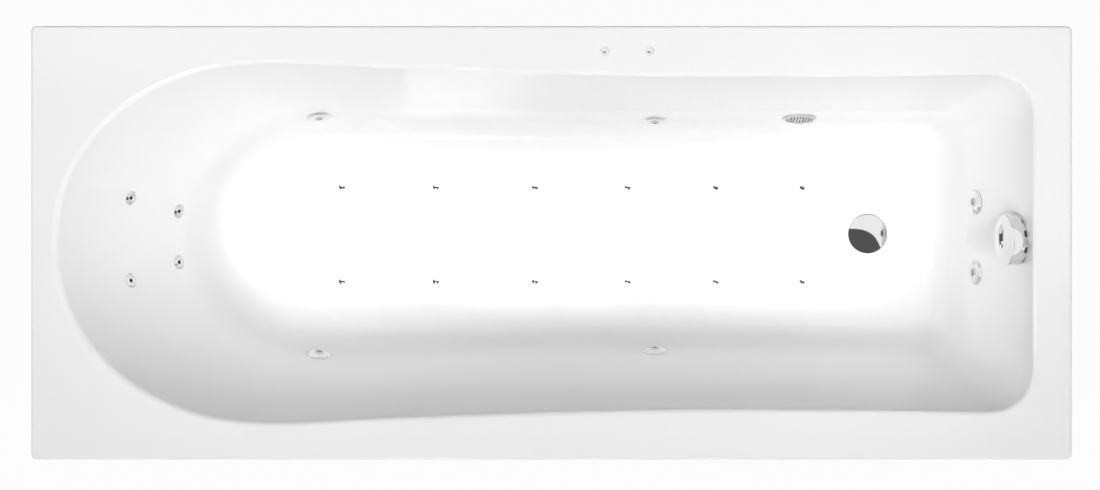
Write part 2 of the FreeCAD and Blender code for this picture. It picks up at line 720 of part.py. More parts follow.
def levelling_feet():
    rods, nuts, pads = [], [], []
    nut = hexagon(LOCK_NUT_FLATS, LOCK_NUT_HEIGHT, STUD_RADIUS)
    pad = lathe(
        [
            (0, 0),
            (FOOT_PAD_RADIUS, 0),
            (FOOT_PAD_RADIUS, FOOT_PAD_HEIGHT * 0.6),
            (FOOT_HUB_RADIUS + 5, FOOT_PAD_HEIGHT),
            (FOOT_HUB_RADIUS, FOOT_PAD_HEIGHT),
            (FOOT_HUB_RADIUS, FOOT_PAD_HEIGHT + FOOT_HUB_HEIGHT),
            (STUD_RADIUS, FOOT_PAD_HEIGHT + FOOT_HUB_HEIGHT),
            (STUD_RADIUS, STUD_SEAT),
            (0, STUD_SEAT),
        ]
    )
    for x, y, low, high in studs():
        top = high + LOCK_NUT_HEIGHT + STUD_STANDS_OUT
        rods.append(cylinder(STUD_RADIUS, top - STUD_SEAT, Vector(x, y, STUD_SEAT)))
        for z in (low - LOCK_NUT_HEIGHT, high):
            nuts.append(placed(nut, Vector(x, y, z), UP))
        pads.append(placed(pad, Vector(x, y, 0), UP))
    save("levelling_studs", *rods, *nuts)
    save("foot_pads", *pads)


SHELF_Z = LONG_RAIL_TOP + SHELF_THICKNESS
SHELF_X = tuple(-RIM_LENGTH / 2 + distance for distance in SHELF_FROM_HEAD)


def equipment_shelf():
    """A folded plate across the long rails that carries the pump, the blower and the control box."""
    plate = block(SHELF_X, (-SHELF_HALF_WIDTH, SHELF_HALF_WIDTH), (LONG_RAIL_TOP, SHELF_Z))
    folds = []
    for edge in (SHELF_X[0], SHELF_X[1] - SHELF_THICKNESS):
        rail_gap = LONG_RAIL_SPREAD + TUBE_SIDE / 2 + 1
        for low, high in ((-SHELF_HALF_WIDTH, -rail_gap), (rail_gap, SHELF_HALF_WIDTH)):
            folds.append(
                block((edge, edge + SHELF_THICKNESS), (low, high), (LONG_RAIL_TOP - SHELF_FOLD, LONG_RAIL_TOP))
            )
    return plate.fuse(folds).removeSplitter().cut(stud_holes())


# ---------------------------------------------------------------- water jets


def jet_socket():
    """The ball's room inside a jet, with the channel behind it."""
    ball = Part.makeSphere(JET_BALL_RADIUS + SOCKET_CLEARANCE, Vector(0, 0, JET_BALL_CENTRE))
    channel_length = JET_BARREL_LENGTH - JET_BALL_RADIUS
    channel = cylinder(JET_CHANNEL_RADIUS, channel_length, Vector(0, 0, 2 - JET_BARREL_LENGTH))
    return ball.fuse(channel)


JET_BODY_TOP = JET_GASKET_HEIGHT + JET_FLANGE_HEIGHT


def jet_ring():
    """The chromed trim ring that holds the ball in its socket."""
    face = lathe(
        [
            (JET_MOUTH_RADIUS, JET_BODY_TOP),
            (JET_GASKET_RADIUS, JET_BODY_TOP),
            (JET_GASKET_RADIUS, 0),
            (JET_FACE_RADIUS, 0),
            (JET_FACE_RADIUS, JET_FACE_HEIGHT * 0.35),
            (JET_FACE_RADIUS - 3, JET_FACE_HEIGHT * 0.8),
            (JET_FACE_RADIUS - 7.5, JET_FACE_HEIGHT),
            (JET_MOUTH_RADIUS, JET_FACE_HEIGHT),
        ]
    )
    return face.cut(Part.makeSphere(JET_BALL_RADIUS + SOCKET_CLEARANCE, Vector(0, 0, JET_BALL_CENTRE)))


def jet_nozzle():
    """The ball that aims the jet: a flat, flared mouth in front and a bore right through."""
    ball = Part.makeSphere(JET_BALL_RADIUS, Vector(0, 0, JET_BALL_CENTRE))
    front = JET_BALL_CENTRE + JET_BALL_FRONT
    back = JET_BALL_CENTRE - JET_BALL_RADIUS
    ball = ball.cut(cylinder(JET_BALL_RADIUS, JET_BALL_RADIUS, Vector(0, 0, front)))
    ball = ball.cut(cylinder(JET_BALL_RADIUS, 4, Vector(0, 0, back - 1)))
    bore = cylinder(JET_BORE_RADIUS - 1.5, 3 * JET_BALL_RADIUS, Vector(0, 0, back))
    flare = Part.makeCone(JET_BORE_RADIUS - 1.5, JET_BORE_RADIUS, 6, Vector(0, 0, front - 6))
    return ball.cut([bore, flare])


def jet_body(seat, main_axis):
    """Flange, threaded barrel and the tee that the water main runs into."""
    point, inward = seat
    barrel = cylinder(JET_GASKET_RADIUS, JET_FLANGE_HEIGHT, Vector(0, 0, JET_GASKET_HEIGHT))
    thread = cylinder(JET_BARREL_RADIUS, JET_BARREL_LENGTH + JET_BODY_TOP, Vector(0, 0, -JET_BARREL_LENGTH))
    barrel = barrel.fuse(thread)
    body = placed(barrel.cut(jet_socket()), point, inward)
    centre = tee_centre(seat, main_axis)
    reach = (centre - point).Length - JET_BARREL_LENGTH
    neck = cylinder(JET_BARREL_RADIUS - 3, reach + 1, point - inward * (JET_BARREL_LENGTH - 1), -inward)
    tee = cylinder(TEE_RADIUS, 2 * TEE_HALF_LENGTH, centre - main_axis * TEE_HALF_LENGTH, main_axis)
    return body.fuse([neck, tee]).removeSplitter()


def tee_centre(seat, main_axis):
    """Where the jet's axis meets the water main behind it."""
    point, inward = seat
    if abs(main_axis.x) > 0.5:
        distance = (MAIN_FROM_CENTRE - abs(point.y)) / abs(inward.y)
    else:
        distance = JET_BARREL_LENGTH + TEE_RADIUS - 8
    return point - inward * distance


def water_jets():
    rings, bodies, nuts, gaskets = [], [], [], []
    ring_shape, nozzle_shape = jet_ring(), jet_nozzle()
    nut_shape = hexagon(JET_NUT_FLATS, JET_NUT_HEIGHT, JET_BARREL_RADIUS)
    gasket_shape = ring(JET_GASKET_RADIUS, JET_BARREL_RADIUS, JET_GASKET_HEIGHT)
    for name, seat in JET_SEATS.items():
        point, inward = seat
        main_axis = Y_AXIS if name.startswith("end") else X_AXIS
        rings.append(placed(ring_shape, point, inward))
        gaskets.append(placed(gasket_shape, point, inward))
        bodies.append(jet_body(seat, main_axis))
        nuts.append(placed(nut_shape, point - inward * (PAD_FACE + JET_NUT_HEIGHT), inward))
        save(name + "_nozzle", placed(nozzle_shape, point, inward))
    save("jet_rings", *rings)
    save("jet_gaskets", *gaskets)
    save("jet_bodies", *bodies)
    return nuts


# ---------------------------------------------------------------- back jets


def back_jets():
    """Small fixed jets in the backrest: a chromed face on its own barrel, a nut and a thin feed hose."""
    face = lathe(
        [
            (BACK_JET_BORE, -BACK_JET_LENGTH),
            (BACK_JET_BARREL, -BACK_JET_LENGTH),
            (BACK_JET_BARREL, 0),
            (BACK_JET_RADIUS, 0),
            (BACK_JET_RADIUS, BACK_JET_HEIGHT * 0.3),
            (BACK_JET_RADIUS - 3, BACK_JET_HEIGHT),
            (BACK_JET_BARREL, BACK_JET_HEIGHT),
            (BACK_JET_BORE, BACK_JET_HEIGHT * 0.4),
        ]
    )
    nut = hexagon(BACK_JET_NUT_FLATS, BACK_JET_NUT_HEIGHT, BACK_JET_BARREL)
    faces, nuts, hoses = [], [], []
    for point, inward in BACK_SEATS:
        faces.append(placed(face, point, inward))
        nuts.append(placed(nut, point - inward * (PAD_FACE + BACK_JET_NUT_HEIGHT), inward))
        start = point - inward * BACK_JET_LENGTH
        out = start - inward * 20
        loop_x = -RIM_LENGTH / 2 + PUMP_FROM_HEAD
        if start.z > HEAD_LOOP_HEIGHT:
            end = Vector(loop_x, start.y, HEAD_LOOP_HEIGHT + MAIN_RADIUS)
            points = [start, out, Vector(loop_x, start.y, out.z - 20), end]
        else:
            end = Vector(loop_x + MAIN_RADIUS, start.y, HEAD_LOOP_HEIGHT)
            beside_loop = Vector(end.x + 26, start.y, HEAD_LOOP_HEIGHT)
            points = [start, start - inward * 22, beside_loop, end]
        hoses.append(pipe(points, MICRO_HOSE_RADIUS, 24))
    save("back_jet_faces", *faces)
    save("back_jet_hoses", *hoses)
    return nuts


# ---------------------------------------------------------------- air jets in the floor


def air_jets():
    caps, bodies = [], []
    cap = domed_disc(AIR_CAP_RADIUS, AIR_CAP_HEIGHT / 2, AIR_CAP_HEIGHT / 2)
    cap = cap.fuse(cylinder(AIR_STEM_RADIUS, 10, Vector(0, 0, -10)))
    length = FLOOR_Z - AIR_TUBE_HEIGHT - AIR_TUBE_RADIUS
    to_board = FLOOR_Z - BOARD_BOTTOM
    body = cylinder(AIR_BODY_RADIUS, length, Vector(0, 0, -length))
    body = body.fuse(cylinder(AIR_NUT_RADIUS, AIR_NUT_HEIGHT, Vector(0, 0, -to_board - AIR_NUT_HEIGHT)))
    body = body.cut(cylinder(AIR_STEM_RADIUS, length, Vector(0, 0, -length)))
    for point in AIR_SEATS:
        caps.append(placed(cap, point, UP))
        bodies.append(placed(body, point, UP))
    save("air_jet_caps", *caps)
    save("air_jet_bodies", *bodies)
    tubes = []
    start = AIR_JETS_X[0] - 60
    end = AIR_JETS_X[-1] + 40
    for side in (1, -1):
        y = side * AIR_JET_SPREAD
        inner = AIR_TUBE_RADIUS - AIR_TUBE_WALL
        tube = ring(AIR_TUBE_RADIUS, inner, end - start, Vector(start, y, AIR_TUBE_HEIGHT), X_AXIS)
        tube = tube.fuse(cylinder(inner, 4, Vector(end - 4, y, AIR_TUBE_HEIGHT), X_AXIS))
        for x in AIR_JETS_X:
            tube = tube.cut(cylinder(AIR_STEM_RADIUS, AIR_TUBE_RADIUS + 2, Vector(x, y, AIR_TUBE_HEIGHT)))
        tubes.append(tube)
    return tubes


# ---------------------------------------------------------------- suction


def suction_cover():
    """The slotted chrome and grey grille over the suction."""
    cover = domed_disc(SUCTION_RADIUS, SUCTION_COVER_HEIGHT * 0.45, SUCTION_COVER_HEIGHT * 0.55)
    cover = cover.cut(domed_disc(SUCTION_RADIUS - 3, SUCTION_COVER_HEIGHT * 0.15, SUCTION_COVER_HEIGHT * 0.5))
    slots = []
    for number in range(SUCTION_SLOTS):
        x = (number - (SUCTION_SLOTS - 1) / 2) * SUCTION_SLOT_PITCH
        half = math.sqrt((SUCTION_RADIUS - 5) ** 2 - x * x) - 1
        sides = (x - SUCTION_SLOT_WIDTH / 2, x + SUCTION_SLOT_WIDTH / 2)
        slots.append(block(sides, (-half, half), (0, SUCTION_COVER_HEIGHT + 1)))
    return cover.cut(slots)


def suction_elbow_point():
    point, inward = SUCTION_SEAT
    return point - inward * (SUCTION_CUP_LENGTH + SUCTION_PIPE_RADIUS - 6)


def suction():
    point, inward = SUCTION_SEAT
    cover = suction_cover()
    cover.Placement = Placement(point, Rotation(X_AXIS, Vector(), inward, "ZXY"))
    save("suction_cover", cover)
    cup = lathe(
        [
            (0, -SUCTION_CUP_LENGTH),
            (SUCTION_CUP_RADIUS, -SUCTION_CUP_LENGTH),
            (SUCTION_CUP_RADIUS, 0),
            (SUCTION_CUP_RADIUS - 3, 0),
            (SUCTION_CUP_RADIUS - 3, -SUCTION_CUP_LENGTH + 10),
            (0, -SUCTION_CUP_LENGTH + 10),
        ]
    )
    cup = placed(cup, point, inward)
    elbow = suction_elbow_point()
    socket = cylinder(SUCTION_PIPE_RADIUS + 4, 60, elbow + X_AXIS * 24, -X_AXIS)
    neck = cylinder(SUCTION_CUP_RADIUS - 4, 16, point - inward * (SUCTION_CUP_LENGTH - 2), -inward)
    save("suction_body", cup.fuse([socket, neck]).removeSplitter())
    nut = hexagon(SUCTION_NUT_FLATS, JET_NUT_HEIGHT, SUCTION_CUP_RADIUS)
    return [placed(nut, point - inward * (PAD_FACE + JET_NUT_HEIGHT), inward)]


# ---------------------------------------------------------------- waste

WASTE_FLANGE_Z = FLOOR_Z - WASTE_RECESS_DEPTH
CAP_Z = WASTE_FLANGE_Z + WASTE_FLANGE_HEIGHT + WASTE_SEAL_HEIGHT
BODY_TOP = SHELL_BOTTOM


def waste():
    x = WASTE_POINT.x
    cap = placed(domed_disc(WASTE_CAP_RADIUS, WASTE_CAP_EDGE, WASTE_CAP_CROWN), Vector(x, 0, CAP_Z), UP)
    shoulder = CAP_Z + WASTE_CAP_EDGE
    round_edges = [e for e in cap.Edges if e.BoundBox.XLength > WASTE_CAP_RADIUS]
    cap = cap.makeFillet(1.0, [e for e in round_edges if abs(e.BoundBox.ZMin - shoulder) < 0.01])
    save("waste_cap", cap)
    seal_base = Vector(x, 0, CAP_Z - WASTE_SEAL_HEIGHT)
    save("waste_seal", ring(WASTE_SEAL_RADIUS, WASTE_SEAL_RADIUS - 5, WASTE_SEAL_HEIGHT, seal_base))
    stem_length = CAP_Z - (WASTE_BODY_BOTTOM + WASTE_BODY_WALL + 6)
    save("waste_stem", cylinder(WASTE_STEM_RADIUS, stem_length, Vector(x, 0, CAP_Z - stem_length)))
    flange = lathe(
        [
            (WASTE_BORE_RADIUS, -WASTE_TAIL_LENGTH),
            (WASTE_TAIL_RADIUS, -WASTE_TAIL_LENGTH),
            (WASTE_TAIL_RADIUS, 0),
            (WASTE_FLANGE_RADIUS, 0),
            (WASTE_FLANGE_RADIUS, WASTE_FLANGE_HEIGHT * 0.6),
            (WASTE_FLANGE_RADIUS - 2, WASTE_FLANGE_HEIGHT),
            (WASTE_BORE_RADIUS, WASTE_FLANGE_HEIGHT),
        ]
    )
    bars = []
    for turn in (0, 90):
        reach = WASTE_BORE_RADIUS + 1
        bar = block((-reach, reach), (-2, 2), (-WASTE_TAIL_LENGTH, 6 - WASTE_TAIL_LENGTH))
        bar.rotate(ORIGIN, UP, turn)
        bars.append(bar)
    guide = cylinder(WASTE_STEM_RADIUS + 3, 6, Vector(0, 0, -WASTE_TAIL_LENGTH))
    flange = flange.fuse(bars + [guide]).removeSplitter()
    flange = flange.cut(cylinder(WASTE_STEM_RADIUS + RUNNING_CLEARANCE, 100, Vector(0, 0, -60)))
    save("waste_flange", placed(flange, Vector(x, 0, WASTE_FLANGE_Z), UP))

    outer, wall, low = WASTE_BODY_RADIUS, WASTE_BODY_WALL, WASTE_BODY_BOTTOM
    body = lathe(
        [
            (0, low),
            (outer - 8, low),
            (outer - 8, low + 12),
            (outer, low + 16),
            (outer, BODY_TOP),
            (0, BODY_TOP),
        ]
    )
    room = lathe(
        [
            (0, low - 1),
            (WASTE_BORE_RADIUS, low - 1),
            (WASTE_BORE_RADIUS, low + 12),
            (outer - wall, low + 20),
            (outer - wall, BODY_TOP - 12),
            (WASTE_TAIL_RADIUS, BODY_TOP - 8),
            (WASTE_TAIL_RADIUS, BODY_TOP + 1),
            (0, BODY_TOP + 1),
        ]
    )
    body.translate(Vector(x, 0, 0))
    room.translate(Vector(x, 0, 0))
    inlet = cylinder(HOSE_RADIUS + 2, 30, Vector(x + outer - 12, 0, HOSE_HEIGHT), X_AXIS)
    boss = cylinder(CABLE_RADIUS + 3, 20, Vector(x + outer - 14, CABLE_OFFSET, HOSE_HEIGHT + 12), X_AXIS)
    hose_bore = cylinder(HOSE_RADIUS - HOSE_WALL, 60, Vector(x + 8, 0, HOSE_HEIGHT), X_AXIS)
    save("waste_body", body.fuse([inlet, boss]).cut(room).cut(hose_bore))

    trap = lathe(
        [
            (0, TRAP_BOTTOM + TRAP_CAP_HEIGHT),
            (TRAP_RADIUS - 4, TRAP_BOTTOM + TRAP_CAP_HEIGHT),
            (TRAP_RADIUS, TRAP_BOTTOM + TRAP_CAP_HEIGHT + 4),
            (TRAP_RADIUS, low - 16),
            (TRAP_RADIUS - 6, low - 10),
            (WASTE_BORE_RADIUS + 4, low - 8),
            (WASTE_BORE_RADIUS + 4, low),
            (WASTE_BORE_RADIUS, low),
            (WASTE_BORE_RADIUS, low - 12),
            (TRAP_RADIUS - TRAP_WALL, low - 14),
            (TRAP_RADIUS - TRAP_WALL, TRAP_BOTTOM + TRAP_CAP_HEIGHT + TRAP_WALL + 3),
            (0, TRAP_BOTTOM + TRAP_CAP_HEIGHT + TRAP_WALL),
        ]
    )
    trap.translate(Vector(x, 0, 0))
    outlet_z = (TRAP_BOTTOM + TRAP_CAP_HEIGHT + low) / 2 - 2
    outlet = cylinder(OUTLET_RADIUS, OUTLET_REACH - OUTLET_ROOT, Vector(x, -OUTLET_ROOT, outlet_z), -Y_AXIS)
    outlet = outlet.fuse(cylinder(OUTLET_RADIUS - OUTLET_RELIEF, OUTLET_ROOT, Vector(x, 0, outlet_z), -Y_AXIS))
    inside_base = Vector(x, 0, outlet_z - OUTLET_RADIUS - 1)
    inside = cylinder(TRAP_RADIUS - TRAP_WALL / 2, 2 * OUTLET_RADIUS + 2, inside_base)
    bore = cylinder(OUTLET_RADIUS - OUTLET_WALL, OUTLET_REACH, Vector(x, 0, outlet_z), -Y_AXIS)
    save("trap", trap.fuse(outlet.cut(inside)).cut(bore))
    grip = []
    for number in range(12):
        turn = number * math.pi / 6
        edge = Vector(x + TRAP_RADIUS * math.cos(turn), TRAP_RADIUS * math.sin(turn), TRAP_BOTTOM)
        grip.append(cylinder(3, TRAP_CAP_HEIGHT, edge))
    save("trap_cap", cylinder(TRAP_RADIUS, TRAP_CAP_HEIGHT, Vector(x, 0, TRAP_BOTTOM)).cut(grip))
    inlet_nut = hexagon(TRAP_NUT_FLATS, TRAP_NUT_HEIGHT, WASTE_BORE_RADIUS + 5)
    inlet_nut = placed(inlet_nut, Vector(x, 0, low - 8), UP)
    inlet_nut = inlet_nut.cut(cylinder(outer - 8, 20, Vector(x, 0, low)))
    return [inlet_nut]


# ---------------------------------------------------------------- overflow


def flattened(shape):
    """The overflow's outline is a circle with one flat, on the side away from the buttons."""
    return shape.cut(block((-KNOB_FLAT * 2, KNOB_FLAT * 2), (-KNOB_FLAT * 3, -KNOB_FLAT), (-50, 100)))


def overflow_local(shape):
    point, inward = OVERFLOW_SEAT
    copy = shape.copy()
    copy.Placement = Placement(point, Rotation(Vector(), Y_AXIS, inward, "ZYX"))
    return copy


def overflow():
    point, inward = OVERFLOW_SEAT
    front = ROSE_HEIGHT + PIECE_GAP
    knob = flattened(domed_disc(KNOB_RADIUS, KNOB_THICKNESS, KNOB_CROWN))
    groove = ring(KNOB_RADIUS + 1, KNOB_RADIUS - 0.8, 1.2, Vector(0, 0, KNOB_THICKNESS - 3.5))
    knob = knob.cut(groove)
    knob.translate(Vector(0, 0, front))
    spindle_length = front + SHELL_WALL + OVERFLOW_BODY_LENGTH
    knob = knob.fuse(cylinder(SPINDLE_RADIUS, spindle_length, Vector(0, 0, front - spindle_length)))
    save("overflow_knob", overflow_local(knob))

    rose = cylinder(ROSE_RADIUS, ROSE_HEIGHT)
    rose = rose.cut(cylinder(ROSE_RADIUS - ROSE_WALL, ROSE_HEIGHT - ROSE_WALL))
    windows = []
    for number in range(ROSE_WINDOWS):
        window = block((ROSE_RADIUS - 8, ROSE_RADIUS + 4), (-6, 6), (1.5, ROSE_HEIGHT - ROSE_WALL))
        window.rotate(ORIGIN, UP, 360 * (number + 0.5) / ROSE_WINDOWS)
        windows.append(window)
    rose = rose.cut(windows + [cylinder(SPINDLE_RADIUS + RUNNING_CLEARANCE, 40, Vector(0, 0, -10))])
    save("overflow_rose", overflow_local(rose))

    back = -PAD_FACE
    end = back - OVERFLOW_BODY_LENGTH
    body = lathe(
        [
            (SPINDLE_RADIUS + RUNNING_CLEARANCE, end),
            (OVERFLOW_BODY_RADIUS - 3, end),
            (OVERFLOW_BODY_RADIUS, end + 3),
            (OVERFLOW_BODY_RADIUS, back),
            (OVERFLOW_HOLE_RADIUS, back),
            (OVERFLOW_HOLE_RADIUS, 0),
            (OVERFLOW_HOLE_RADIUS - OVERFLOW_BODY_WALL, 0),
            (OVERFLOW_HOLE_RADIUS - OVERFLOW_BODY_WALL, back),
            (OVERFLOW_BODY_RADIUS - OVERFLOW_BODY_WALL, back - 3),
            (OVERFLOW_BODY_RADIUS - OVERFLOW_BODY_WALL, end + 4),
            (SPINDLE_RADIUS + RUNNING_CLEARANCE, end + 4),
        ]
    )
    body = overflow_local(body)
    hose_x = overflow_hose_x()
    top = point.z - OVERFLOW_BODY_RADIUS + 6
    spigot = cylinder(HOSE_RADIUS + 1, 30, Vector(hose_x, 0, top - 24))
    room_radius = OVERFLOW_BODY_RADIUS - OVERFLOW_BODY_WALL
    room = overflow_local(cylinder(room_radius, OVERFLOW_BODY_LENGTH - 7, Vector(0, 0, end + 4)))
    spigot = spigot.cut(room).cut(cylinder(HOSE_RADIUS - HOSE_WALL, 60, Vector(hose_x, 0, top - 40)))
    body = body.cut(cylinder(HOSE_RADIUS - HOSE_WALL, 30, Vector(hose_x, 0, top - 24)))
    clip = cylinder(CABLE_RADIUS + 3, 16, Vector(hose_x, CABLE_OFFSET, top - 14))
    body = body.fuse([spigot, clip.cut(room)]).removeSplitter()
    save("overflow_body", body)

    reach = 60.0
    hose_start = Vector(hose_x, 0, top - 24)
    hose_end = Vector(WASTE_POINT.x + WASTE_BODY_RADIUS + 18, 0, HOSE_HEIGHT)
    hose_points = [hose_start, Vector(hose_x, 0, HOSE_HEIGHT), hose_end]
    save("overflow_hose", hollow_pipe(hose_points, HOSE_RADIUS, HOSE_WALL, reach + 20))
    cable_z = HOSE_HEIGHT + 12
    cable_start = Vector(hose_x, CABLE_OFFSET, top - 14)
    cable_end = Vector(WASTE_POINT.x + WASTE_BODY_RADIUS + 6, CABLE_OFFSET, cable_z)
    cable_points = [cable_start, Vector(hose_x, CABLE_OFFSET, cable_z), cable_end]
    save("waste_cable", pipe(cable_points, CABLE_RADIUS, reach + 20))


def overflow_hose_x():
    point, inward = OVERFLOW_SEAT
    return (point - inward * (PAD_FACE + OVERFLOW_BODY_LENGTH / 2)).x + 4


# ---------------------------------------------------------------- air buttons


def air_buttons():
    bezels, lines = [], []
    cavity = BUTTON_CAP_RADIUS + RUNNING_CLEARANCE
    floor = -BUTTON_BODY_LENGTH + 6
    cap_bottom = -8.0
    bezel = lathe(
        [
            (cavity, floor),
            (cavity, BUTTON_BEZEL_HEIGHT),
            (BUTTON_BEZEL_RADIUS - 1, BUTTON_BEZEL_HEIGHT),
            (BUTTON_BEZEL_RADIUS, BUTTON_BEZEL_HEIGHT - 1),
            (BUTTON_BEZEL_RADIUS, 0),
            (BUTTON_BODY_RADIUS, 0),
            (BUTTON_BODY_RADIUS, -BUTTON_BODY_LENGTH),
            (0, -BUTTON_BODY_LENGTH),
            (0, floor),
        ]
    )
    nut = hexagon(BUTTON_NUT_FLATS, BUTTON_NUT_HEIGHT, BUTTON_BODY_RADIUS)
    nuts = []
    names = ("pump", "blower")
    for name, point in zip(names, BUTTON_POINTS):
        cap = domed_disc(BUTTON_CAP_RADIUS, BUTTON_BEZEL_HEIGHT - cap_bottom, BUTTON_CAP_STANDS)
        save(name + "_button_cap", placed(cap, point + Vector(0, 0, cap_bottom), UP))
        inner = BUTTON_SPRING_RADIUS - BUTTON_SPRING_WIRE
        spring = ring(BUTTON_SPRING_RADIUS, inner, cap_bottom - floor, point + Vector(0, 0, floor))
        save(name + "_button_spring", spring)
        bezels.append(placed(bezel, point, UP))
        nuts.append(placed(nut, point - UP * (SHELL_WALL + BUTTON_NUT_HEIGHT), UP))
        low = point - UP * BUTTON_BODY_LENGTH
        bend = low - UP * 26
        end_y = BOX_Y - (0 if name == "pump" else 12)
        box_x = -RIM_LENGTH / 2 + PUMP_FROM_HEAD + SUCTION_PIPE_RADIUS + 10
        lane = point.y - (2 if name == "pump" else 14)
        points = [
            low,
            bend,
            Vector(point.x - 40, lane, bend.z),
            Vector(-560, lane, bend.z),
            Vector(box_x, end_y, bend.z - 130),
            Vector(box_x, end_y, SHELF_Z + BOX_SIZE[2] + BOX_LID_THICKNESS),
        ]
        lines.append(pipe(points, AIR_LINE_RADIUS, 40))
    save("button_bodies", *bezels)
    save("button_air_lines", *lines)
    return nuts


# ---------------------------------------------------------------- pump

PUMP_X = -RIM_LENGTH / 2 + PUMP_FROM_HEAD
PUMP_INLET_Y = 150.0


def along_y(shape, y):
    """A pump piece modelled along +Z, laid along -Y with its start at y."""
    copy = shape.copy()
    copy.Placement = Placement(Vector(PUMP_X, y, PUMP_AXIS_HEIGHT), Rotation(X_AXIS, 90))
    return copy


def pump():
    """Wet end towards +Y, then the motor, then the fan, all on one shaft along Y."""
    volute_start = PUMP_INLET_Y - 30
    plate_start = volute_start - VOLUTE_LENGTH
    motor_start = plate_start - BACK_PLATE_THICKNESS
    fan_start = motor_start - MOTOR_LENGTH

    casing = cylinder(VOLUTE_RADIUS, VOLUTE_LENGTH)
    casing = casing.makeFillet(8, [e for e in casing.Edges if e.BoundBox.ZMax < 0.01])
    inlet = cylinder(SUCTION_PIPE_RADIUS + 3, 30, Vector(0, 0, -30))
    discharge_length = HEAD_LOOP_HEIGHT - PUMP_AXIS_HEIGHT - MAIN_RADIUS - 16
    discharge = cylinder(MAIN_RADIUS + 4, discharge_length, Vector(0, 0, VOLUTE_LENGTH / 2), Y_AXIS)
    chamber = cylinder(VOLUTE_RADIUS - VOLUTE_WALL, VOLUTE_LENGTH - VOLUTE_WALL, Vector(0, 0, VOLUTE_WALL))
    throat = cylinder(SUCTION_PIPE_RADIUS - 4, 40, Vector(0, 0, -31))
    lift = cylinder(MAIN_RADIUS - 3, discharge_length + 1, Vector(0, 0, VOLUTE_LENGTH / 2), Y_AXIS)
    casing = casing.fuse([inlet, discharge]).cut([chamber, throat, lift])
    save("pump_volute", along_y(casing, volute_start))
    bore = SHAFT_RADIUS + RUNNING_CLEARANCE
    save("pump_back_plate", along_y(ring(VOLUTE_RADIUS, bore, BACK_PLATE_THICKNESS), plate_start))

    motor = cylinder(MOTOR_RADIUS, MOTOR_LENGTH)
    fins = []
    for number in range(MOTOR_FINS):
        heights = (MOTOR_RADIUS - 2, MOTOR_RADIUS + MOTOR_FIN_HEIGHT)
        fin = block(heights, (-MOTOR_FIN_WIDTH / 2, MOTOR_FIN_WIDTH / 2), (14, MOTOR_LENGTH - 8))
        fin.rotate(ORIGIN, UP, 360 * number / MOTOR_FINS)
        fins.append(fin)
    cover_radius = MOTOR_RADIUS + MOTOR_FIN_HEIGHT
    end_shields = [cylinder(cover_radius, 10, Vector(0, 0, z)) for z in (0, MOTOR_LENGTH - 10)]
    motor = motor.fuse(fins + end_shields).cut(cylinder(bore, MOTOR_LENGTH))
    save("pump_motor", along_y(motor, motor_start))

    cover = cylinder(cover_radius, FAN_COVER_LENGTH).cut(
        cylinder(cover_radius - FAN_COVER_WALL, FAN_COVER_LENGTH - FAN_COVER_WALL)
    )
    slots = []
    for number in range(FAN_COVER_SLOTS):
        slot = block((16, cover_radius - 10), (-3, 3), (FAN_COVER_LENGTH - 5, FAN_COVER_LENGTH + 1))
        slot.rotate(ORIGIN, UP, 360 * number / FAN_COVER_SLOTS)
        slots.append(slot)
    save("fan_cover", along_y(cover.cut(slots), fan_start))

    impeller_z = VOLUTE_LENGTH - 10 - IMPELLER_DISC
    hub_length = 18.0
    impeller = cylinder(IMPELLER_RADIUS, IMPELLER_DISC, Vector(0, 0, impeller_z))
    hub = cylinder(SHAFT_RADIUS + 6, hub_length, Vector(0, 0, impeller_z + IMPELLER_DISC - hub_length))
    vanes = []
    for number in range(IMPELLER_VANES):
        bend = ring(34, 31, IMPELLER_VANE_HEIGHT, Vector(30, 0, impeller_z - IMPELLER_VANE_HEIGHT))
        keep = block((0, 62), (0, 34), (0, VOLUTE_LENGTH))
        vane = bend.common(keep).common(cylinder(IMPELLER_RADIUS, VOLUTE_LENGTH))
        vane.rotate(ORIGIN, UP, 360 * number / IMPELLER_VANES)
        vanes.append(vane)
    impeller = impeller.fuse([hub] + vanes)
    shaft_front = impeller_z + IMPELLER_DISC - hub_length
    fan_reach = VOLUTE_LENGTH + BACK_PLATE_THICKNESS + MOTOR_LENGTH + FAN_COVER_LENGTH - 10
    impeller = impeller.cut(cylinder(SHAFT_RADIUS, fan_reach, Vector(0, 0, shaft_front)))
    save("pump_impeller", along_y(impeller, volute_start))
    shaft = cylinder(SHAFT_RADIUS, fan_reach - shaft_front, Vector(0, 0, shaft_front))
    save("pump_shaft", along_y(shaft, volute_start))

    fan = cylinder(SHAFT_RADIUS + 7, FAN_WIDTH)
    blades = []
    for number in range(FAN_BLADES):
        blade = block((SHAFT_RADIUS + 5, FAN_RADIUS), (-1.5, 1.5), (0, FAN_WIDTH))
        blade.rotate(ORIGIN, UP, 360 * number / FAN_BLADES)
        blades.append(blade)
    fan = fan.fuse(blades).cut(cylinder(SHAFT_RADIUS, FAN_WIDTH))
    save("cooling_fan", along_y(fan, fan_start - 6))

    foot_y = (fan_start + 20, motor_start - 10)
    base = block((PUMP_X - PUMP_FOOT_HALF_WIDTH, PUMP_X + PUMP_FOOT_HALF_WIDTH), foot_y, (SHELF_Z, SHELF_Z + 6))
    legs = [
        block((PUMP_X - 46, PUMP_X + 46), (y, y + 6), (SHELF_Z + 6, PUMP_AXIS_HEIGHT - 20))
        for y in (foot_y[0] + 12, foot_y[1] - 18)
    ]
    axis_start = Vector(PUMP_X, fan_start - 20, PUMP_AXIS_HEIGHT)
    motor_room = cylinder(cover_radius + RUNNING_CLEARANCE, MOTOR_LENGTH + 80, axis_start, Y_AXIS)
    save("pump_base", base.fuse(legs).cut(motor_room))

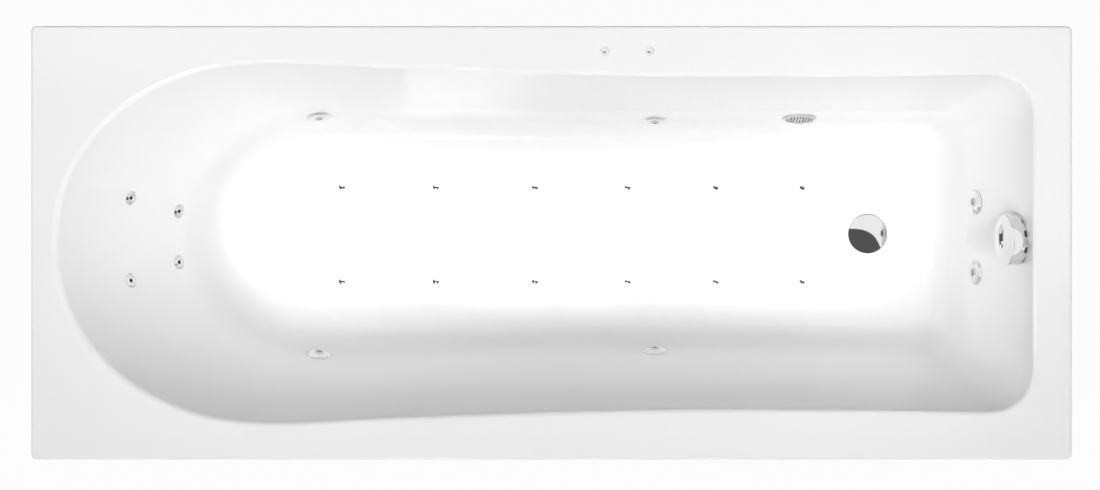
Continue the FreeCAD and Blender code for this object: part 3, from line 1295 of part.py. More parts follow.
    length, width, height = TERMINAL_BOX
    box_y = (motor_start - 30 - length, motor_start - 30)
    box_x = PUMP_X - MOTOR_RADIUS * 0.6
    low = PUMP_AXIS_HEIGHT + 40
    terminal = block((box_x - width / 2, box_x + width / 2), box_y, (low, low + height))
    save("motor_terminal_box", terminal.cut(motor_room))

    union = hexagon(UNION_FLATS, UNION_HEIGHT, SUCTION_PIPE_RADIUS + 3)
    small = hexagon(UNION_FLATS - 16, UNION_HEIGHT, MAIN_RADIUS + 4)
    inlet_union = along_y(union, volute_start + 30)
    riser_y = volute_start - VOLUTE_LENGTH / 2
    riser_top = PUMP_AXIS_HEIGHT + discharge_length
    riser_union = placed(small, Vector(PUMP_X, riser_y, riser_top - UNION_HEIGHT), UP)
    return [inlet_union, riser_union], (volute_start, riser_y, riser_top)


# ---------------------------------------------------------------- pipes


def water_pipes(volute_start, riser_y, riser_top):
    """The pressure main from the pump round both sides, and the suction pipe along the button side."""
    head_left, head_right, foot_left, foot_right, end_left, end_right = [
        tee_centre(seat, Y_AXIS if name.startswith("end") else X_AXIS) for name, seat in JET_SEATS.items()
    ]
    reach = X_AXIS * TEE_HALF_LENGTH
    loop_z = HEAD_LOOP_HEIGHT
    loop = [
        head_left - reach,
        Vector(head_left.x - 150, head_left.y, head_left.z),
        Vector(PUMP_X, riser_y + 40, loop_z),
        Vector(PUMP_X, -riser_y - 40, loop_z),
        Vector(head_right.x - 150, head_right.y, head_right.z),
        head_right - reach,
    ]
    riser = cylinder(MAIN_RADIUS, loop_z - riser_top, Vector(PUMP_X, riser_y, riser_top))
    head_loop = pipe(loop, MAIN_RADIUS, PIPE_BEND).fuse(riser)
    left = pipe([head_left + reach, foot_left - reach], MAIN_RADIUS, PIPE_BEND)
    right = pipe([head_right + reach, foot_right - reach], MAIN_RADIUS, PIPE_BEND)
    foot_run = [
        foot_right + reach,
        Vector(end_right.x - 140, foot_right.y, foot_right.z),
        Vector(end_right.x, end_right.y - 130, end_right.z),
        end_right - Y_AXIS * TEE_HALF_LENGTH,
    ]
    foot_pipe = pipe(foot_run, MAIN_RADIUS, PIPE_BEND)
    half_tee = Y_AXIS * TEE_HALF_LENGTH
    link = pipe([end_right + half_tee, end_left - half_tee], MAIN_RADIUS, PIPE_BEND)
    save("water_main", head_loop, left, right, foot_pipe, link)

    elbow = suction_elbow_point()
    suction_points = [
        elbow - X_AXIS * 36,
        elbow - X_AXIS * 70,
        Vector(elbow.x - 130, elbow.y, SUCTION_RUN_HEIGHT),
        Vector(head_left.x - 160, elbow.y, SUCTION_RUN_HEIGHT),
        Vector(PUMP_X, elbow.y, PUMP_AXIS_HEIGHT),
        Vector(PUMP_X, volute_start + 30, PUMP_AXIS_HEIGHT),
    ]
    save("suction_pipe", pipe(suction_points, SUCTION_PIPE_RADIUS, PIPE_BEND))


# ---------------------------------------------------------------- blower and control box


def blower():
    body = lathe(
        [
            (0, 0),
            (BLOWER_RADIUS - 8, 0),
            (BLOWER_RADIUS - 8, 6),
            (BLOWER_RADIUS, 12),
            (BLOWER_RADIUS, BLOWER_HEIGHT * 0.55),
            (BLOWER_RADIUS - 10, BLOWER_HEIGHT * 0.62),
            (BLOWER_RADIUS - 10, BLOWER_HEIGHT - 6),
            (BLOWER_RADIUS - 16, BLOWER_HEIGHT),
            (0, BLOWER_HEIGHT),
        ]
    )
    slots = []
    for number in range(10):
        slot = block((BLOWER_RADIUS - 16, BLOWER_RADIUS), (-3, 3), (BLOWER_HEIGHT * 0.68, BLOWER_HEIGHT - 10))
        slot.rotate(ORIGIN, UP, 36 * number)
        slots.append(slot)
    body = body.cut(slots)
    spigot_z = 34.0
    spigot = cylinder(AIR_TUBE_RADIUS + 8, BLOWER_RADIUS + 18, Vector(0, 0, spigot_z), X_AXIS)
    body = body.fuse(spigot)
    body.translate(Vector(PUMP_X, BLOWER_Y, SHELF_Z))
    save("air_blower", body)

    start = Vector(PUMP_X + BLOWER_RADIUS + 18, BLOWER_Y, SHELF_Z + spigot_z)
    manifold_x = AIR_JETS_X[0] - 60
    collector_x = manifold_x - 20
    z = AIR_TUBE_HEIGHT
    collector_end = Vector(collector_x, -AIR_JET_SPREAD - 15, z)
    collector = cylinder(AIR_TUBE_RADIUS + 4, 2 * AIR_JET_SPREAD + 30, collector_end, Y_AXIS)
    stubs = []
    for side in (1, -1):
        stubs.append(cylinder(AIR_TUBE_RADIUS, 20, Vector(collector_x, side * AIR_JET_SPREAD, z), X_AXIS))
    manifold = [collector.fuse(stubs).removeSplitter()]
    over_rail = LONG_RAIL_TOP + 2 * AIR_TUBE_RADIUS + 9
    crossing_x = start.x + 110
    hose_points = [
        start,
        Vector(start.x + 60, start.y, start.z),
        Vector(crossing_x, start.y + 70, over_rail),
        Vector(crossing_x, -50, over_rail),
        Vector(crossing_x + 60, 0, z),
        Vector(collector_x - AIR_TUBE_RADIUS - 4, 0, z),
    ]
    save("blower_hose", pipe(hose_points, AIR_TUBE_RADIUS + 4, PIPE_BEND))
    return manifold


def control_box():
    length, width, height = BOX_SIZE
    x = (PUMP_X - length / 2, PUMP_X + length / 2)
    y = (BOX_Y - width / 2, BOX_Y + width / 2)
    box = block(x, y, (SHELF_Z, SHELF_Z + height))
    holes, glands = [], []
    for number in range(3):
        gland_y = BOX_Y + (number - 1) * 40
        point = Vector(x[0], gland_y, SHELF_Z + height / 2)
        gland = hexagon(2 * GLAND_RADIUS * 0.9, 6, SUPPLY_BORE_RADIUS).fuse(
            ring(GLAND_RADIUS * 0.7, SUPPLY_BORE_RADIUS, GLAND_LENGTH)
        )
        glands.append(placed(gland, point, -X_AXIS))
        holes.append(cylinder(SUPPLY_BORE_RADIUS + HOLE_CLEARANCE, 12, point + X_AXIS * 10, -X_AXIS))
    save("control_box", box.cut(holes))
    save("cable_glands", *glands)
    lid = block(x, y, (SHELF_Z + height, SHELF_Z + height + BOX_LID_THICKNESS))
    lid_top = SHELF_Z + height + BOX_LID_THICKNESS
    lid = lid.makeFillet(3, [e for e in lid.Edges if e.BoundBox.ZMin > lid_top - 0.01])
    save("control_box_lid", lid)


# ---------------------------------------------------------------- build


def main():
    save("bath_shell", bath_shell())
    save("base_board", base_board())
    save("rim_battens", *rim_battens())
    frame()
    levelling_feet()
    save("equipment_shelf", equipment_shelf())
    backing_nuts = water_jets() + back_jets() + suction() + air_buttons()
    save("backing_nuts", *backing_nuts)
    trap_nut = waste()
    overflow()
    pump_nuts, pump_ports = pump()
    save("union_nuts", *trap_nut, *pump_nuts)
    water_pipes(*pump_ports)
    save("air_manifold", *air_jets(), *blower())
    control_box()


main()
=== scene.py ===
"""Looks of the jetted bathtub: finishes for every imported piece, the pieces that only show, and the studio."""

import json
import math

import bmesh
import bpy
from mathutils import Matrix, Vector


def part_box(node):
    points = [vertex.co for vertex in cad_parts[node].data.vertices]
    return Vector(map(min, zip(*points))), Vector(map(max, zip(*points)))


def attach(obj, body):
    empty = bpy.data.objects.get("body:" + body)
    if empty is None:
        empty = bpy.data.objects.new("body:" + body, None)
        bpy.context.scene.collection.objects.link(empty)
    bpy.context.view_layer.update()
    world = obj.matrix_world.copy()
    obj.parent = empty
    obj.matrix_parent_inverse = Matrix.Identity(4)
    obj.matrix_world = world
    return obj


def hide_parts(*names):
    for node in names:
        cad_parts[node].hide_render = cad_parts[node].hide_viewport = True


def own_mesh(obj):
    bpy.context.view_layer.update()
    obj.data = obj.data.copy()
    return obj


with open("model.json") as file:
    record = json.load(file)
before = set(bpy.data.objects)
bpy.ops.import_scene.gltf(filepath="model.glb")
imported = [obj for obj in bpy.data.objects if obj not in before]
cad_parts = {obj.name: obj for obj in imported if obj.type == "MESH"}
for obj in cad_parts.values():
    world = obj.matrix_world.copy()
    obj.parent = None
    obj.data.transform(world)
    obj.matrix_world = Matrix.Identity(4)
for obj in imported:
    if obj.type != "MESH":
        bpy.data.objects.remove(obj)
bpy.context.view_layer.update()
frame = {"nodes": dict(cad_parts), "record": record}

NODES = frame["nodes"]
MM = 0.001
Z_AXIS = Vector((0, 0, 1))

# ---------------------------------------------------------------- the photograph's view and the studio

CAMERA_HEIGHT = 4.2  # above the rim
CAMERA_PLACE = (-0.0026, 0.1675, 0.6 + CAMERA_HEIGHT)
FRAME_WIDTH = 1.902  # what the picture's width covers at the rim
SENSOR_WIDTH = 36.0
FRAME_SHIFT = -0.09
FLOOR_SIZE = 24.0
FLOOR_Z = -0.0003
FLOOR_GLOW = 0.95  # how far the floor fades into the white background; the rest keeps the shadow

WORLD_STRENGTH = 0.2
BACKGROUND = (1.0, 1.0, 1.0, 1)

# Each softbox: its place, what it is aimed at, its size, watts, spread in degrees and whether polish shows it
LAMPS = (
    ("key_softbox", (-0.36, -1.4, 3.0), (0.1, 0.0, 0.2), (0.42, 0.55), 6.0, 180, True),
    ("high_bank", (0.0, -1.3, 5.2), (0.0, 0.0, 0.4), (5.0, 1.0), 84.0, 180, False),
    ("low_bank", (0.0, -2.7, 4.6), (0.0, 0.0, 0.4), (5.0, 1.0), 24.0, 180, False),
    ("far_rim_bank", (0.0, -1.3, 5.2), (0.0, 0.5, 0.6), (5.0, 1.0), 12.0, 60, False),
    ("far_rim_strip", (0.0, -1.5, 5.2), (0.0, 0.62, 0.6), (5.0, 0.4), 1.5, 14, False),
    ("basin_beam", (0.05, -0.35, 4.6), (0.05, 0.0, 0.2), (1.1, 0.1), 0.85, 4, False),
    ("foot_wall_lamp", (-2.6, -0.4, 4.2), (0.78, 0.05, 0.35), (0.6, 0.6), 0.43, 12, False),
    ("backrest_lamp", (2.6, -0.4, 4.2), (-0.74, 0.05, 0.42), (0.6, 0.6), 0.33, 12, False),
    ("near_wall_beam", (0.05, 2.6, 4.2), (0.05, -0.23, 0.31), (1.3, 0.1), 0.1, 4, False),
    ("far_wall_beam", (0.05, -2.6, 4.2), (0.05, 0.245, 0.37), (1.3, 0.1), 0.09, 4, False),
)

FLAG_HEIGHT = 4.9
FLAG_SHADE = 0.1
# The dark half of the ceiling: over the near rim, and curving away from the bright half towards the foot end
FLAG_EDGE = (
    (-4.0, -4.5), (3.0, -4.5), (3.2, -3.0), (2.9, -2.0), (2.5, -1.2), (2.1, -0.6), (1.7, -0.2), (1.2, 0.1),
    (0.6, 0.3), (0.0, 0.38), (-1.9, 0.42), (-2.2, 0.75), (-4.0, 1.8),
)


def add_camera():
    data = bpy.data.cameras.new("photo_camera")
    data.sensor_width = SENSOR_WIDTH
    data.sensor_fit = "HORIZONTAL"
    data.lens = SENSOR_WIDTH * CAMERA_HEIGHT / FRAME_WIDTH
    data.shift_y = FRAME_SHIFT
    camera = bpy.data.objects.new("photo_camera", data)
    camera.location = CAMERA_PLACE
    bpy.context.scene.collection.objects.link(camera)
    bpy.context.scene.camera = camera


def add_panel_lamp(name, place, aim, size, power, spread=180.0, seen_in_gloss=True):
    """A rectangular softbox of size (across, along), aimed at a point."""
    data = bpy.data.lights.new(name, "AREA")
    data.shape = "RECTANGLE"
    data.size, data.size_y = size
    data.energy = power
    data.spread = math.radians(spread)
    lamp = bpy.data.objects.new(name, data)
    lamp.location = place
    lamp.rotation_euler = (Vector(place) - Vector(aim)).to_track_quat("Z", "Y").to_euler()
    lamp.visible_glossy = seen_in_gloss
    bpy.context.scene.collection.objects.link(lamp)


def add_dark_flag(name, corners, shade):
    """A dark board over the studio that only shows in polished surfaces."""
    mesh = bpy.data.meshes.new(name)
    mesh.from_pydata([Vector(corner) for corner in corners], [], [range(len(corners))])
    flag = bpy.data.objects.new(name, mesh)
    bpy.context.scene.collection.objects.link(flag)
    material = bpy.data.materials.new(name)
    material.use_nodes = True
    nodes, links = material.node_tree.nodes, material.node_tree.links
    nodes.clear()
    output = nodes.new("ShaderNodeOutputMaterial")
    glow = nodes.new("ShaderNodeEmission")
    glow.inputs["Color"].default_value = (shade, shade, shade, 1)
    links.new(glow.outputs["Emission"], output.inputs["Surface"])
    mesh.materials.append(material)
    flag.visible_camera = False
    flag.visible_diffuse = False
    flag.visible_shadow = False
    flag.visible_transmission = False


def shown_rays(nodes, links):
    """1 for rays from the camera, and for those that polished metal or clear plastic sends on."""
    path = nodes.new("ShaderNodeLightPath")
    first = nodes.new("ShaderNodeMath")
    first.operation = "MAXIMUM"
    links.new(path.outputs["Is Camera Ray"], first.inputs[0])
    links.new(path.outputs["Is Glossy Ray"], first.inputs[1])
    both = nodes.new("ShaderNodeMath")
    both.operation = "MAXIMUM"
    links.new(first.outputs[0], both.inputs[0])
    links.new(path.outputs["Is Transmission Ray"], both.inputs[1])
    return both.outputs[0]


def add_world():
    world = bpy.data.worlds.new("studio")
    bpy.context.scene.world = world
    world.use_nodes = True
    nodes, links = world.node_tree.nodes, world.node_tree.links
    nodes.clear()
    output = nodes.new("ShaderNodeOutputWorld")
    light = nodes.new("ShaderNodeBackground")
    light.inputs["Color"].default_value = (1, 1, 1, 1)
    light.inputs["Strength"].default_value = WORLD_STRENGTH
    backdrop = nodes.new("ShaderNodeBackground")
    backdrop.inputs["Color"].default_value = BACKGROUND
    mix = nodes.new("ShaderNodeMixShader")
    links.new(shown_rays(nodes, links), mix.inputs["Fac"])
    links.new(light.outputs["Background"], mix.inputs[1])
    links.new(backdrop.outputs["Background"], mix.inputs[2])
    links.new(mix.outputs["Shader"], output.inputs["Surface"])


def add_floor():
    half = FLOOR_SIZE / 2
    mesh = bpy.data.meshes.new("studio_floor")
    corners = [(-half, -half), (half, -half), (half, half), (-half, half)]
    mesh.from_pydata([(x, y, FLOOR_Z) for x, y in corners], [], [range(4)])
    floor = bpy.data.objects.new("studio_floor", mesh)
    bpy.context.scene.collection.objects.link(floor)
    material = bpy.data.materials.new("studio_floor")
    material.use_nodes = True
    nodes, links = material.node_tree.nodes, material.node_tree.links
    shader = nodes["Principled BSDF"]
    shader.inputs["Base Color"].default_value = (0.8, 0.8, 0.8, 1)
    shader.inputs["Roughness"].default_value = 0.9
    glow = nodes.new("ShaderNodeEmission")
    glow.inputs["Color"].default_value = BACKGROUND
    mix = nodes.new("ShaderNodeMixShader")
    share = nodes.new("ShaderNodeMath")
    share.operation = "MULTIPLY"
    share.inputs[1].default_value = FLOOR_GLOW
    links.new(shown_rays(nodes, links), share.inputs[0])
    links.new(share.outputs[0], mix.inputs["Fac"])
    links.new(shader.outputs["BSDF"], mix.inputs[1])
    links.new(glow.outputs["Emission"], mix.inputs[2])
    links.new(mix.outputs["Shader"], nodes["Material Output"].inputs["Surface"])
    mesh.materials.append(material)


def set_up_studio():
    bpy.context.scene.view_settings.view_transform = "Standard"
    add_camera()
    add_world()
    add_floor()
    for name, place, aim, size, power, spread, in_gloss in LAMPS:
        add_panel_lamp(name, place, aim, size, power, spread, in_gloss)
    add_dark_flag("ceiling_flag", [(x, y, FLAG_HEIGHT) for x, y in FLAG_EDGE], FLAG_SHADE)


# ---------------------------------------------------------------- effects that several finishes share


def new_group(name, inputs, outputs):
    """An empty effect with named sockets; returns its tree, its input node and its output node."""
    tree = bpy.data.node_groups.new(name, "ShaderNodeTree")
    for label, kind, value in inputs:
        socket = tree.interface.new_socket(label, in_out="INPUT", socket_type=kind)
        if value is not None:
            socket.default_value = value
    for label, kind in outputs:
        tree.interface.new_socket(label, in_out="OUTPUT", socket_type=kind)
    return tree, tree.nodes.new("NodeGroupInput"), tree.nodes.new("NodeGroupOutput")


def noise(tree, vector, scale, detail=3.0, roughness=0.55):
    node = tree.nodes.new("ShaderNodeTexNoise")
    node.inputs["Detail"].default_value = detail
    node.inputs["Roughness"].default_value = roughness
    tree.links.new(vector, node.inputs["Vector"])
    if isinstance(scale, (int, float)):
        node.inputs["Scale"].default_value = scale
    else:
        tree.links.new(scale, node.inputs["Scale"])
    return node.outputs["Fac"]


def stretched(tree, vector, stretch):
    node = tree.nodes.new("ShaderNodeVectorMath")
    node.operation = "MULTIPLY"
    node.inputs[1].default_value = stretch
    tree.links.new(vector, node.inputs[0])
    return node.outputs[0]


def ranged(tree, value, low, high, to_low=0.0, to_high=1.0):
    """The part of a value between low and high, spread over a new range and held there."""
    node = tree.nodes.new("ShaderNodeMapRange")
    node.inputs["From Min"].default_value = low
    node.inputs["From Max"].default_value = high
    node.inputs["To Min"].default_value = to_low
    node.inputs["To Max"].default_value = to_high
    tree.links.new(value, node.inputs["Value"])
    return node.outputs["Result"]


def maths(tree, operation, first, second):
    node = tree.nodes.new("ShaderNodeMath")
    node.operation = operation
    for socket, value in zip(node.inputs, (first, second)):
        if isinstance(value, (int, float)):
            socket.default_value = value
        else:
            tree.links.new(value, socket)
    return node.outputs[0]


def moulded_texture():
    """The fine pebbling of moulded, cast and sprayed surfaces, with a slower swell under it."""
    tree, given, result = new_group(
        "Moulded texture",
        [("Vector", "NodeSocketVector", None), ("Scale", "NodeSocketFloat", 400.0)],
        [("Height", "NodeSocketFloat"), ("Patches", "NodeSocketFloat")],
    )
    vector = given.outputs["Vector"]
    fine = noise(tree, vector, given.outputs["Scale"], 2.0)
    swell = noise(tree, vector, 14.0, 3.0)
    tree.links.new(fine, result.inputs["Height"])
    tree.links.new(ranged(tree, swell, 0.35, 0.65), result.inputs["Patches"])
    return tree


def settled_dust():
    """Dust on what faces up, in soft uneven patches."""
    tree, given, result = new_group(
        "Settled dust",
        [
            ("Vector", "NodeSocketVector", None),
            ("Normal", "NodeSocketVector", None),
            ("Amount", "NodeSocketFloat", 0.5),
        ],
        [("Mask", "NodeSocketFloat")],
    )
    split = tree.nodes.new("ShaderNodeSeparateXYZ")
    tree.links.new(given.outputs["Normal"], split.inputs[0])
    facing_up = ranged(tree, split.outputs["Z"], 0.3, 1.0)
    patches = ranged(tree, noise(tree, given.outputs["Vector"], 9.0, 5.0, 0.65), 0.35, 0.75)
    mask = maths(tree, "MULTIPLY", facing_up, patches)
    tree.links.new(maths(tree, "MULTIPLY", mask, given.outputs["Amount"]), result.inputs["Mask"])
    return tree


def worn_edges():
    """A mask of the sharp edges, broken up so that only parts of them are worn."""
    tree, given, result = new_group(
        "Worn edges",
        [("Vector", "NodeSocketVector", None), ("Width", "NodeSocketFloat", 0.001)],
        [("Mask", "NodeSocketFloat")],
    )
    bevel = tree.nodes.new("ShaderNodeBevel")
    bevel.samples = 4
    tree.links.new(given.outputs["Width"], bevel.inputs["Radius"])
    flat = tree.nodes.new("ShaderNodeNewGeometry")
    agree = tree.nodes.new("ShaderNodeVectorMath")
    agree.operation = "DOT_PRODUCT"
    tree.links.new(bevel.outputs["Normal"], agree.inputs[0])
    tree.links.new(flat.outputs["Normal"], agree.inputs[1])
    edges = ranged(tree, agree.outputs["Value"], 0.98, 0.85)
    broken = ranged(tree, noise(tree, given.outputs["Vector"], 60.0, 4.0, 0.6), 0.45, 0.6)
    tree.links.new(maths(tree, "MULTIPLY", edges, broken), result.inputs["Mask"])
    return tree


def sawn_grain():
    """Long fibres of sawn timber along X, with wider growth bands."""
    tree, given, result = new_group(
        "Sawn grain",
        [("Vector", "NodeSocketVector", None)],
        [("Bands", "NodeSocketFloat"), ("Fibres", "NodeSocketFloat")],
    )
    vector = given.outputs["Vector"]
    bands = noise(tree, stretched(tree, vector, (1.2, 70.0, 70.0)), 1.0, 2.0)
    fibres = noise(tree, stretched(tree, vector, (9.0, 900.0, 900.0)), 1.0, 3.0)
    tree.links.new(ranged(tree, bands, 0.4, 0.62), result.inputs["Bands"])
    tree.links.new(fibres, result.inputs["Fibres"])
    return tree


def pressed_chips():
    """Flat wood chips of several tones, pressed into a board."""
    tree, given, result = new_group(
        "Pressed chips",
        [("Vector", "NodeSocketVector", None)],
        [("Tone", "NodeSocketFloat"), ("Height", "NodeSocketFloat")],
    )
    chips = tree.nodes.new("ShaderNodeTexVoronoi")
    chips.inputs["Scale"].default_value = 1.0
    tree.links.new(stretched(tree, given.outputs["Vector"], (160.0, 260.0, 400.0)), chips.inputs["Vector"])
    split = tree.nodes.new("ShaderNodeSeparateColor")
    tree.links.new(chips.outputs["Color"], split.inputs[0])
    tree.links.new(split.outputs[0], result.inputs["Tone"])
    tree.links.new(chips.outputs["Distance"], result.inputs["Height"])
    return tree


def glass_strands():
    """Chopped glass strands lying every way under resin, from three layers of stretched noise."""
    tree, given, result = new_group(
        "Glass strands",
        [("Vector", "NodeSocketVector", None)],
        [("Strands", "NodeSocketFloat")],
    )
    vector = given.outputs["Vector"]
    layers = []
    for turn in (0.3, 1.35, 2.4):
        turned = tree.nodes.new("ShaderNodeVectorRotate")
        turned.inputs["Axis"].default_value = (0.35, 0.5, 0.79)
        turned.inputs["Angle"].default_value = turn
        tree.links.new(vector, turned.inputs["Vector"])
        lines = noise(tree, stretched(tree, turned.outputs[0], (30.0, 420.0, 420.0)), 1.0, 1.0)
        layers.append(ranged(tree, lines, 0.56, 0.66))
    strands = maths(tree, "MAXIMUM", maths(tree, "MAXIMUM", layers[0], layers[1]), layers[2])
    tree.links.new(strands, result.inputs["Strands"])
    return tree


def drawn_lines():
    """Fine lines along one direction, as left by drawing, turning or brushing."""
    tree, given, result = new_group(
        "Drawn lines",
        [("Vector", "NodeSocketVector", None), ("Stretch", "NodeSocketVector", (4.0, 900.0, 900.0))],
        [("Lines", "NodeSocketFloat")],
    )
    scaled = tree.nodes.new("ShaderNodeVectorMath")
    scaled.operation = "MULTIPLY"
    tree.links.new(given.outputs["Vector"], scaled.inputs[0])
    tree.links.new(given.outputs["Stretch"], scaled.inputs[1])
    tree.links.new(noise(tree, scaled.outputs[0], 1.0, 3.0), result.inputs["Lines"])
    return tree


MOULDED = moulded_texture()
DUST = settled_dust()
WORN = worn_edges()
SAWN = sawn_grain()
CHIPS = pressed_chips()
STRANDS = glass_strands()
DRAWN = drawn_lines()

# ---------------------------------------------------------------- finishes


class Finish:
    """A material with its shader, and short ways to lay effects over it."""

    def __init__(self, name, colour, roughness, metallic=0.0, **sockets):
        self.material = bpy.data.materials.new(name)
        self.material.use_nodes = True
        self.tree = self.material.node_tree
        self.shader = self.tree.nodes["Principled BSDF"]
        self.shader.inputs["Base Color"].default_value = (*colour, 1)
        self.shader.inputs["Roughness"].default_value = roughness
        self.shader.inputs["Metallic"].default_value = metallic
        for label, value in sockets.items():
            self.shader.inputs[label.replace("_", " ")].default_value = value
        where = self.tree.nodes.new("ShaderNodeTexCoord")
        self.place = where.outputs["Object"]
        self.facing = where.outputs["Normal"]
        self.height = None

    def effect(self, group, **sockets):
        """An effect laid out over the piece, with its own values."""
        node = self.tree.nodes.new("ShaderNodeGroup")
        node.node_tree = group
        self.tree.links.new(self.place, node.inputs["Vector"])
        if "Normal" in node.inputs:
            self.tree.links.new(self.facing, node.inputs["Normal"])
        for label, value in sockets.items():
            node.inputs[label].default_value = value
        return node.outputs

    def tint(self, mask, colour):
        """The base colour turns to another where the mask is 1."""
        mix = self.tree.nodes.new("ShaderNodeMix")
        mix.data_type = "RGBA"
        base = self.shader.inputs["Base Color"]
        if base.is_linked:
            self.tree.links.new(base.links[0].from_socket, mix.inputs["A"])
        else:
            mix.inputs["A"].default_value = base.default_value
        mix.inputs["B"].default_value = (*colour, 1)
        self.tree.links.new(mask, mix.inputs["Factor"])
        self.tree.links.new(mix.outputs["Result"], base)

    def shift(self, label, mask, low, high):
        """A socket that goes from low to high with a mask."""
        self.tree.links.new(ranged(self.tree, mask, 0.0, 1.0, low, high), self.shader.inputs[label])

    def raise_by(self, height, depth):
        """Relief of a depth in metres, over what relief there is."""
        bump = self.tree.nodes.new("ShaderNodeBump")
        bump.inputs["Distance"].default_value = depth
        bump.inputs["Strength"].default_value = 1.0
        self.tree.links.new(height, bump.inputs["Height"])
        if self.height:
            self.tree.links.new(self.height, bump.inputs["Normal"])
        self.height = bump.outputs["Normal"]
        self.tree.links.new(self.height, self.shader.inputs["Normal"])


# Where the bath's skirt and deck end inwards: the laminate shows behind them
SKIRT_BACK_Y = 0.369
SKIRT_BACK_X = 0.894
DECK_BACK_Z = 0.593
BACK_EDGE = 0.0005  # how softly it begins
ACRYLIC_ROUGHNESS = 0.03
LAMINATE_ROUGHNESS = 0.42


def white_acrylic():
    """Polished white acrylic inside and on the deck; the glass-fibre laminate shows on its back."""
    finish = Finish("white_acrylic", (0.9, 0.9, 0.9), ACRYLIC_ROUGHNESS, IOR=1.49)
    tree = finish.tree
    split = tree.nodes.new("ShaderNodeSeparateXYZ")
    tree.links.new(finish.facing, split.inputs[0])
    place = tree.nodes.new("ShaderNodeSeparateXYZ")
    tree.links.new(finish.place, place.inputs[0])
    facing_down = ranged(tree, split.outputs["Z"], -0.01, -0.03)
    across = maths(tree, "ABSOLUTE", place.outputs["Y"], 0.0)
    along = maths(tree, "ABSOLUTE", place.outputs["X"], 0.0)
    behind_side = ranged(tree, across, SKIRT_BACK_Y + BACK_EDGE, SKIRT_BACK_Y)
    behind_end = ranged(tree, along, SKIRT_BACK_X + BACK_EDGE, SKIRT_BACK_X)
    within_skirt = maths(tree, "MULTIPLY", behind_side, behind_end)
    under_deck = ranged(tree, place.outputs["Z"], DECK_BACK_Z + BACK_EDGE, DECK_BACK_Z)
    upright = ranged(tree, maths(tree, "ABSOLUTE", split.outputs["Z"], 0.0), 0.03, 0.01)
    upright_back = maths(tree, "MULTIPLY", maths(tree, "MULTIPLY", upright, within_skirt), under_deck)
    back = maths(tree, "MAXIMUM", facing_down, upright_back)
    swell = finish.effect(MOULDED, Scale=55.0)
    laminate = finish.effect(STRANDS)
    finish.tint(back, (0.62, 0.6, 0.52))
    finish.tint(maths(tree, "MULTIPLY", back, laminate["Strands"]), (0.78, 0.77, 0.72))
    finish.shift("Roughness", back, ACRYLIC_ROUGHNESS, LAMINATE_ROUGHNESS)
    finish.raise_by(swell["Height"], 0.00001)
    finish.raise_by(maths(tree, "MULTIPLY", back, laminate["Strands"]), 0.0006)
    return finish.material


def polished_chrome():
    finish = Finish("polished_chrome", (0.82, 0.82, 0.83), 0.05, metallic=1.0)
    polish = finish.effect(MOULDED, Scale=90.0)
    finish.shift("Roughness", polish["Patches"], 0.035, 0.075)
    finish.raise_by(polish["Height"], 0.000004)
    return finish.material


def satin_grille():
    finish = Finish("satin_grille", (0.62, 0.62, 0.63), 0.28, metallic=0.35)
    grain = finish.effect(MOULDED, Scale=700.0)
    finish.tint(grain["Patches"], (0.66, 0.66, 0.67))
    finish.raise_by(grain["Height"], 0.00002)
    return finish.material


def nozzle_chrome():
    finish = Finish("nozzle_chrome", (0.7, 0.7, 0.71), 0.12, metallic=0.85)
    grain = finish.effect(MOULDED, Scale=600.0)
    finish.shift("Roughness", grain["Patches"], 0.09, 0.16)
    finish.raise_by(grain["Height"], 0.00001)
    return finish.material


def moulded_plastic(name, colour, dusty, roughness, grain_size, relief):
    """A moulded plastic with its own pebbling, worn edges and a little dust on top."""
    finish = Finish(name, colour, roughness)
    grain = finish.effect(MOULDED, Scale=grain_size)
    finish.tint(grain["Patches"], tuple(shade * 0.94 for shade in colour))
    worn = tuple(min(shade * 1.25 + 0.02, 0.95) for shade in colour)
    finish.tint(finish.effect(WORN, Width=0.0008)["Mask"], worn)
    finish.tint(finish.effect(DUST, Amount=dusty)["Mask"], (0.56, 0.54, 0.5))
    finish.shift("Roughness", grain["Patches"], roughness, roughness + 0.08)
    finish.raise_by(grain["Height"], relief)
    return finish.material


def sprayed_steel():
    """Grey powder coat with an orange-peel skin and chipped edges."""
    finish = Finish("sprayed_steel", (0.3, 0.31, 0.32), 0.42)
    grain = finish.effect(MOULDED, Scale=900.0)
    finish.tint(grain["Patches"], (0.27, 0.28, 0.29))
    finish.tint(finish.effect(WORN, Width=0.0009)["Mask"], (0.5, 0.5, 0.5))
    finish.tint(finish.effect(DUST, Amount=0.35)["Mask"], (0.5, 0.48, 0.45))
    finish.shift("Roughness", grain["Patches"], 0.38, 0.5)
    finish.raise_by(grain["Height"], 0.00008)
    return finish.material


def plated_steel(name, colour, stretch):
    finish = Finish(name, colour, 0.3, metallic=1.0)
    lines = finish.effect(DRAWN, Stretch=stretch)
    patches = finish.effect(MOULDED, Scale=300.0)
    finish.tint(patches["Patches"], tuple(shade * 0.86 for shade in colour))
    finish.shift("Roughness", lines["Lines"], 0.2, 0.46)
    finish.raise_by(lines["Lines"], 0.00002)
    return finish.material


def cast_aluminium():
    finish = Finish("cast_aluminium", (0.56, 0.57, 0.58), 0.46, metallic=0.9)
    grain = finish.effect(MOULDED, Scale=520.0)
    finish.tint(grain["Patches"], (0.48, 0.49, 0.5))
    finish.tint(finish.effect(WORN, Width=0.001)["Mask"], (0.74, 0.74, 0.74))
    finish.shift("Roughness", grain["Height"], 0.36, 0.6)
    finish.raise_by(grain["Height"], 0.00015)
    return finish.material


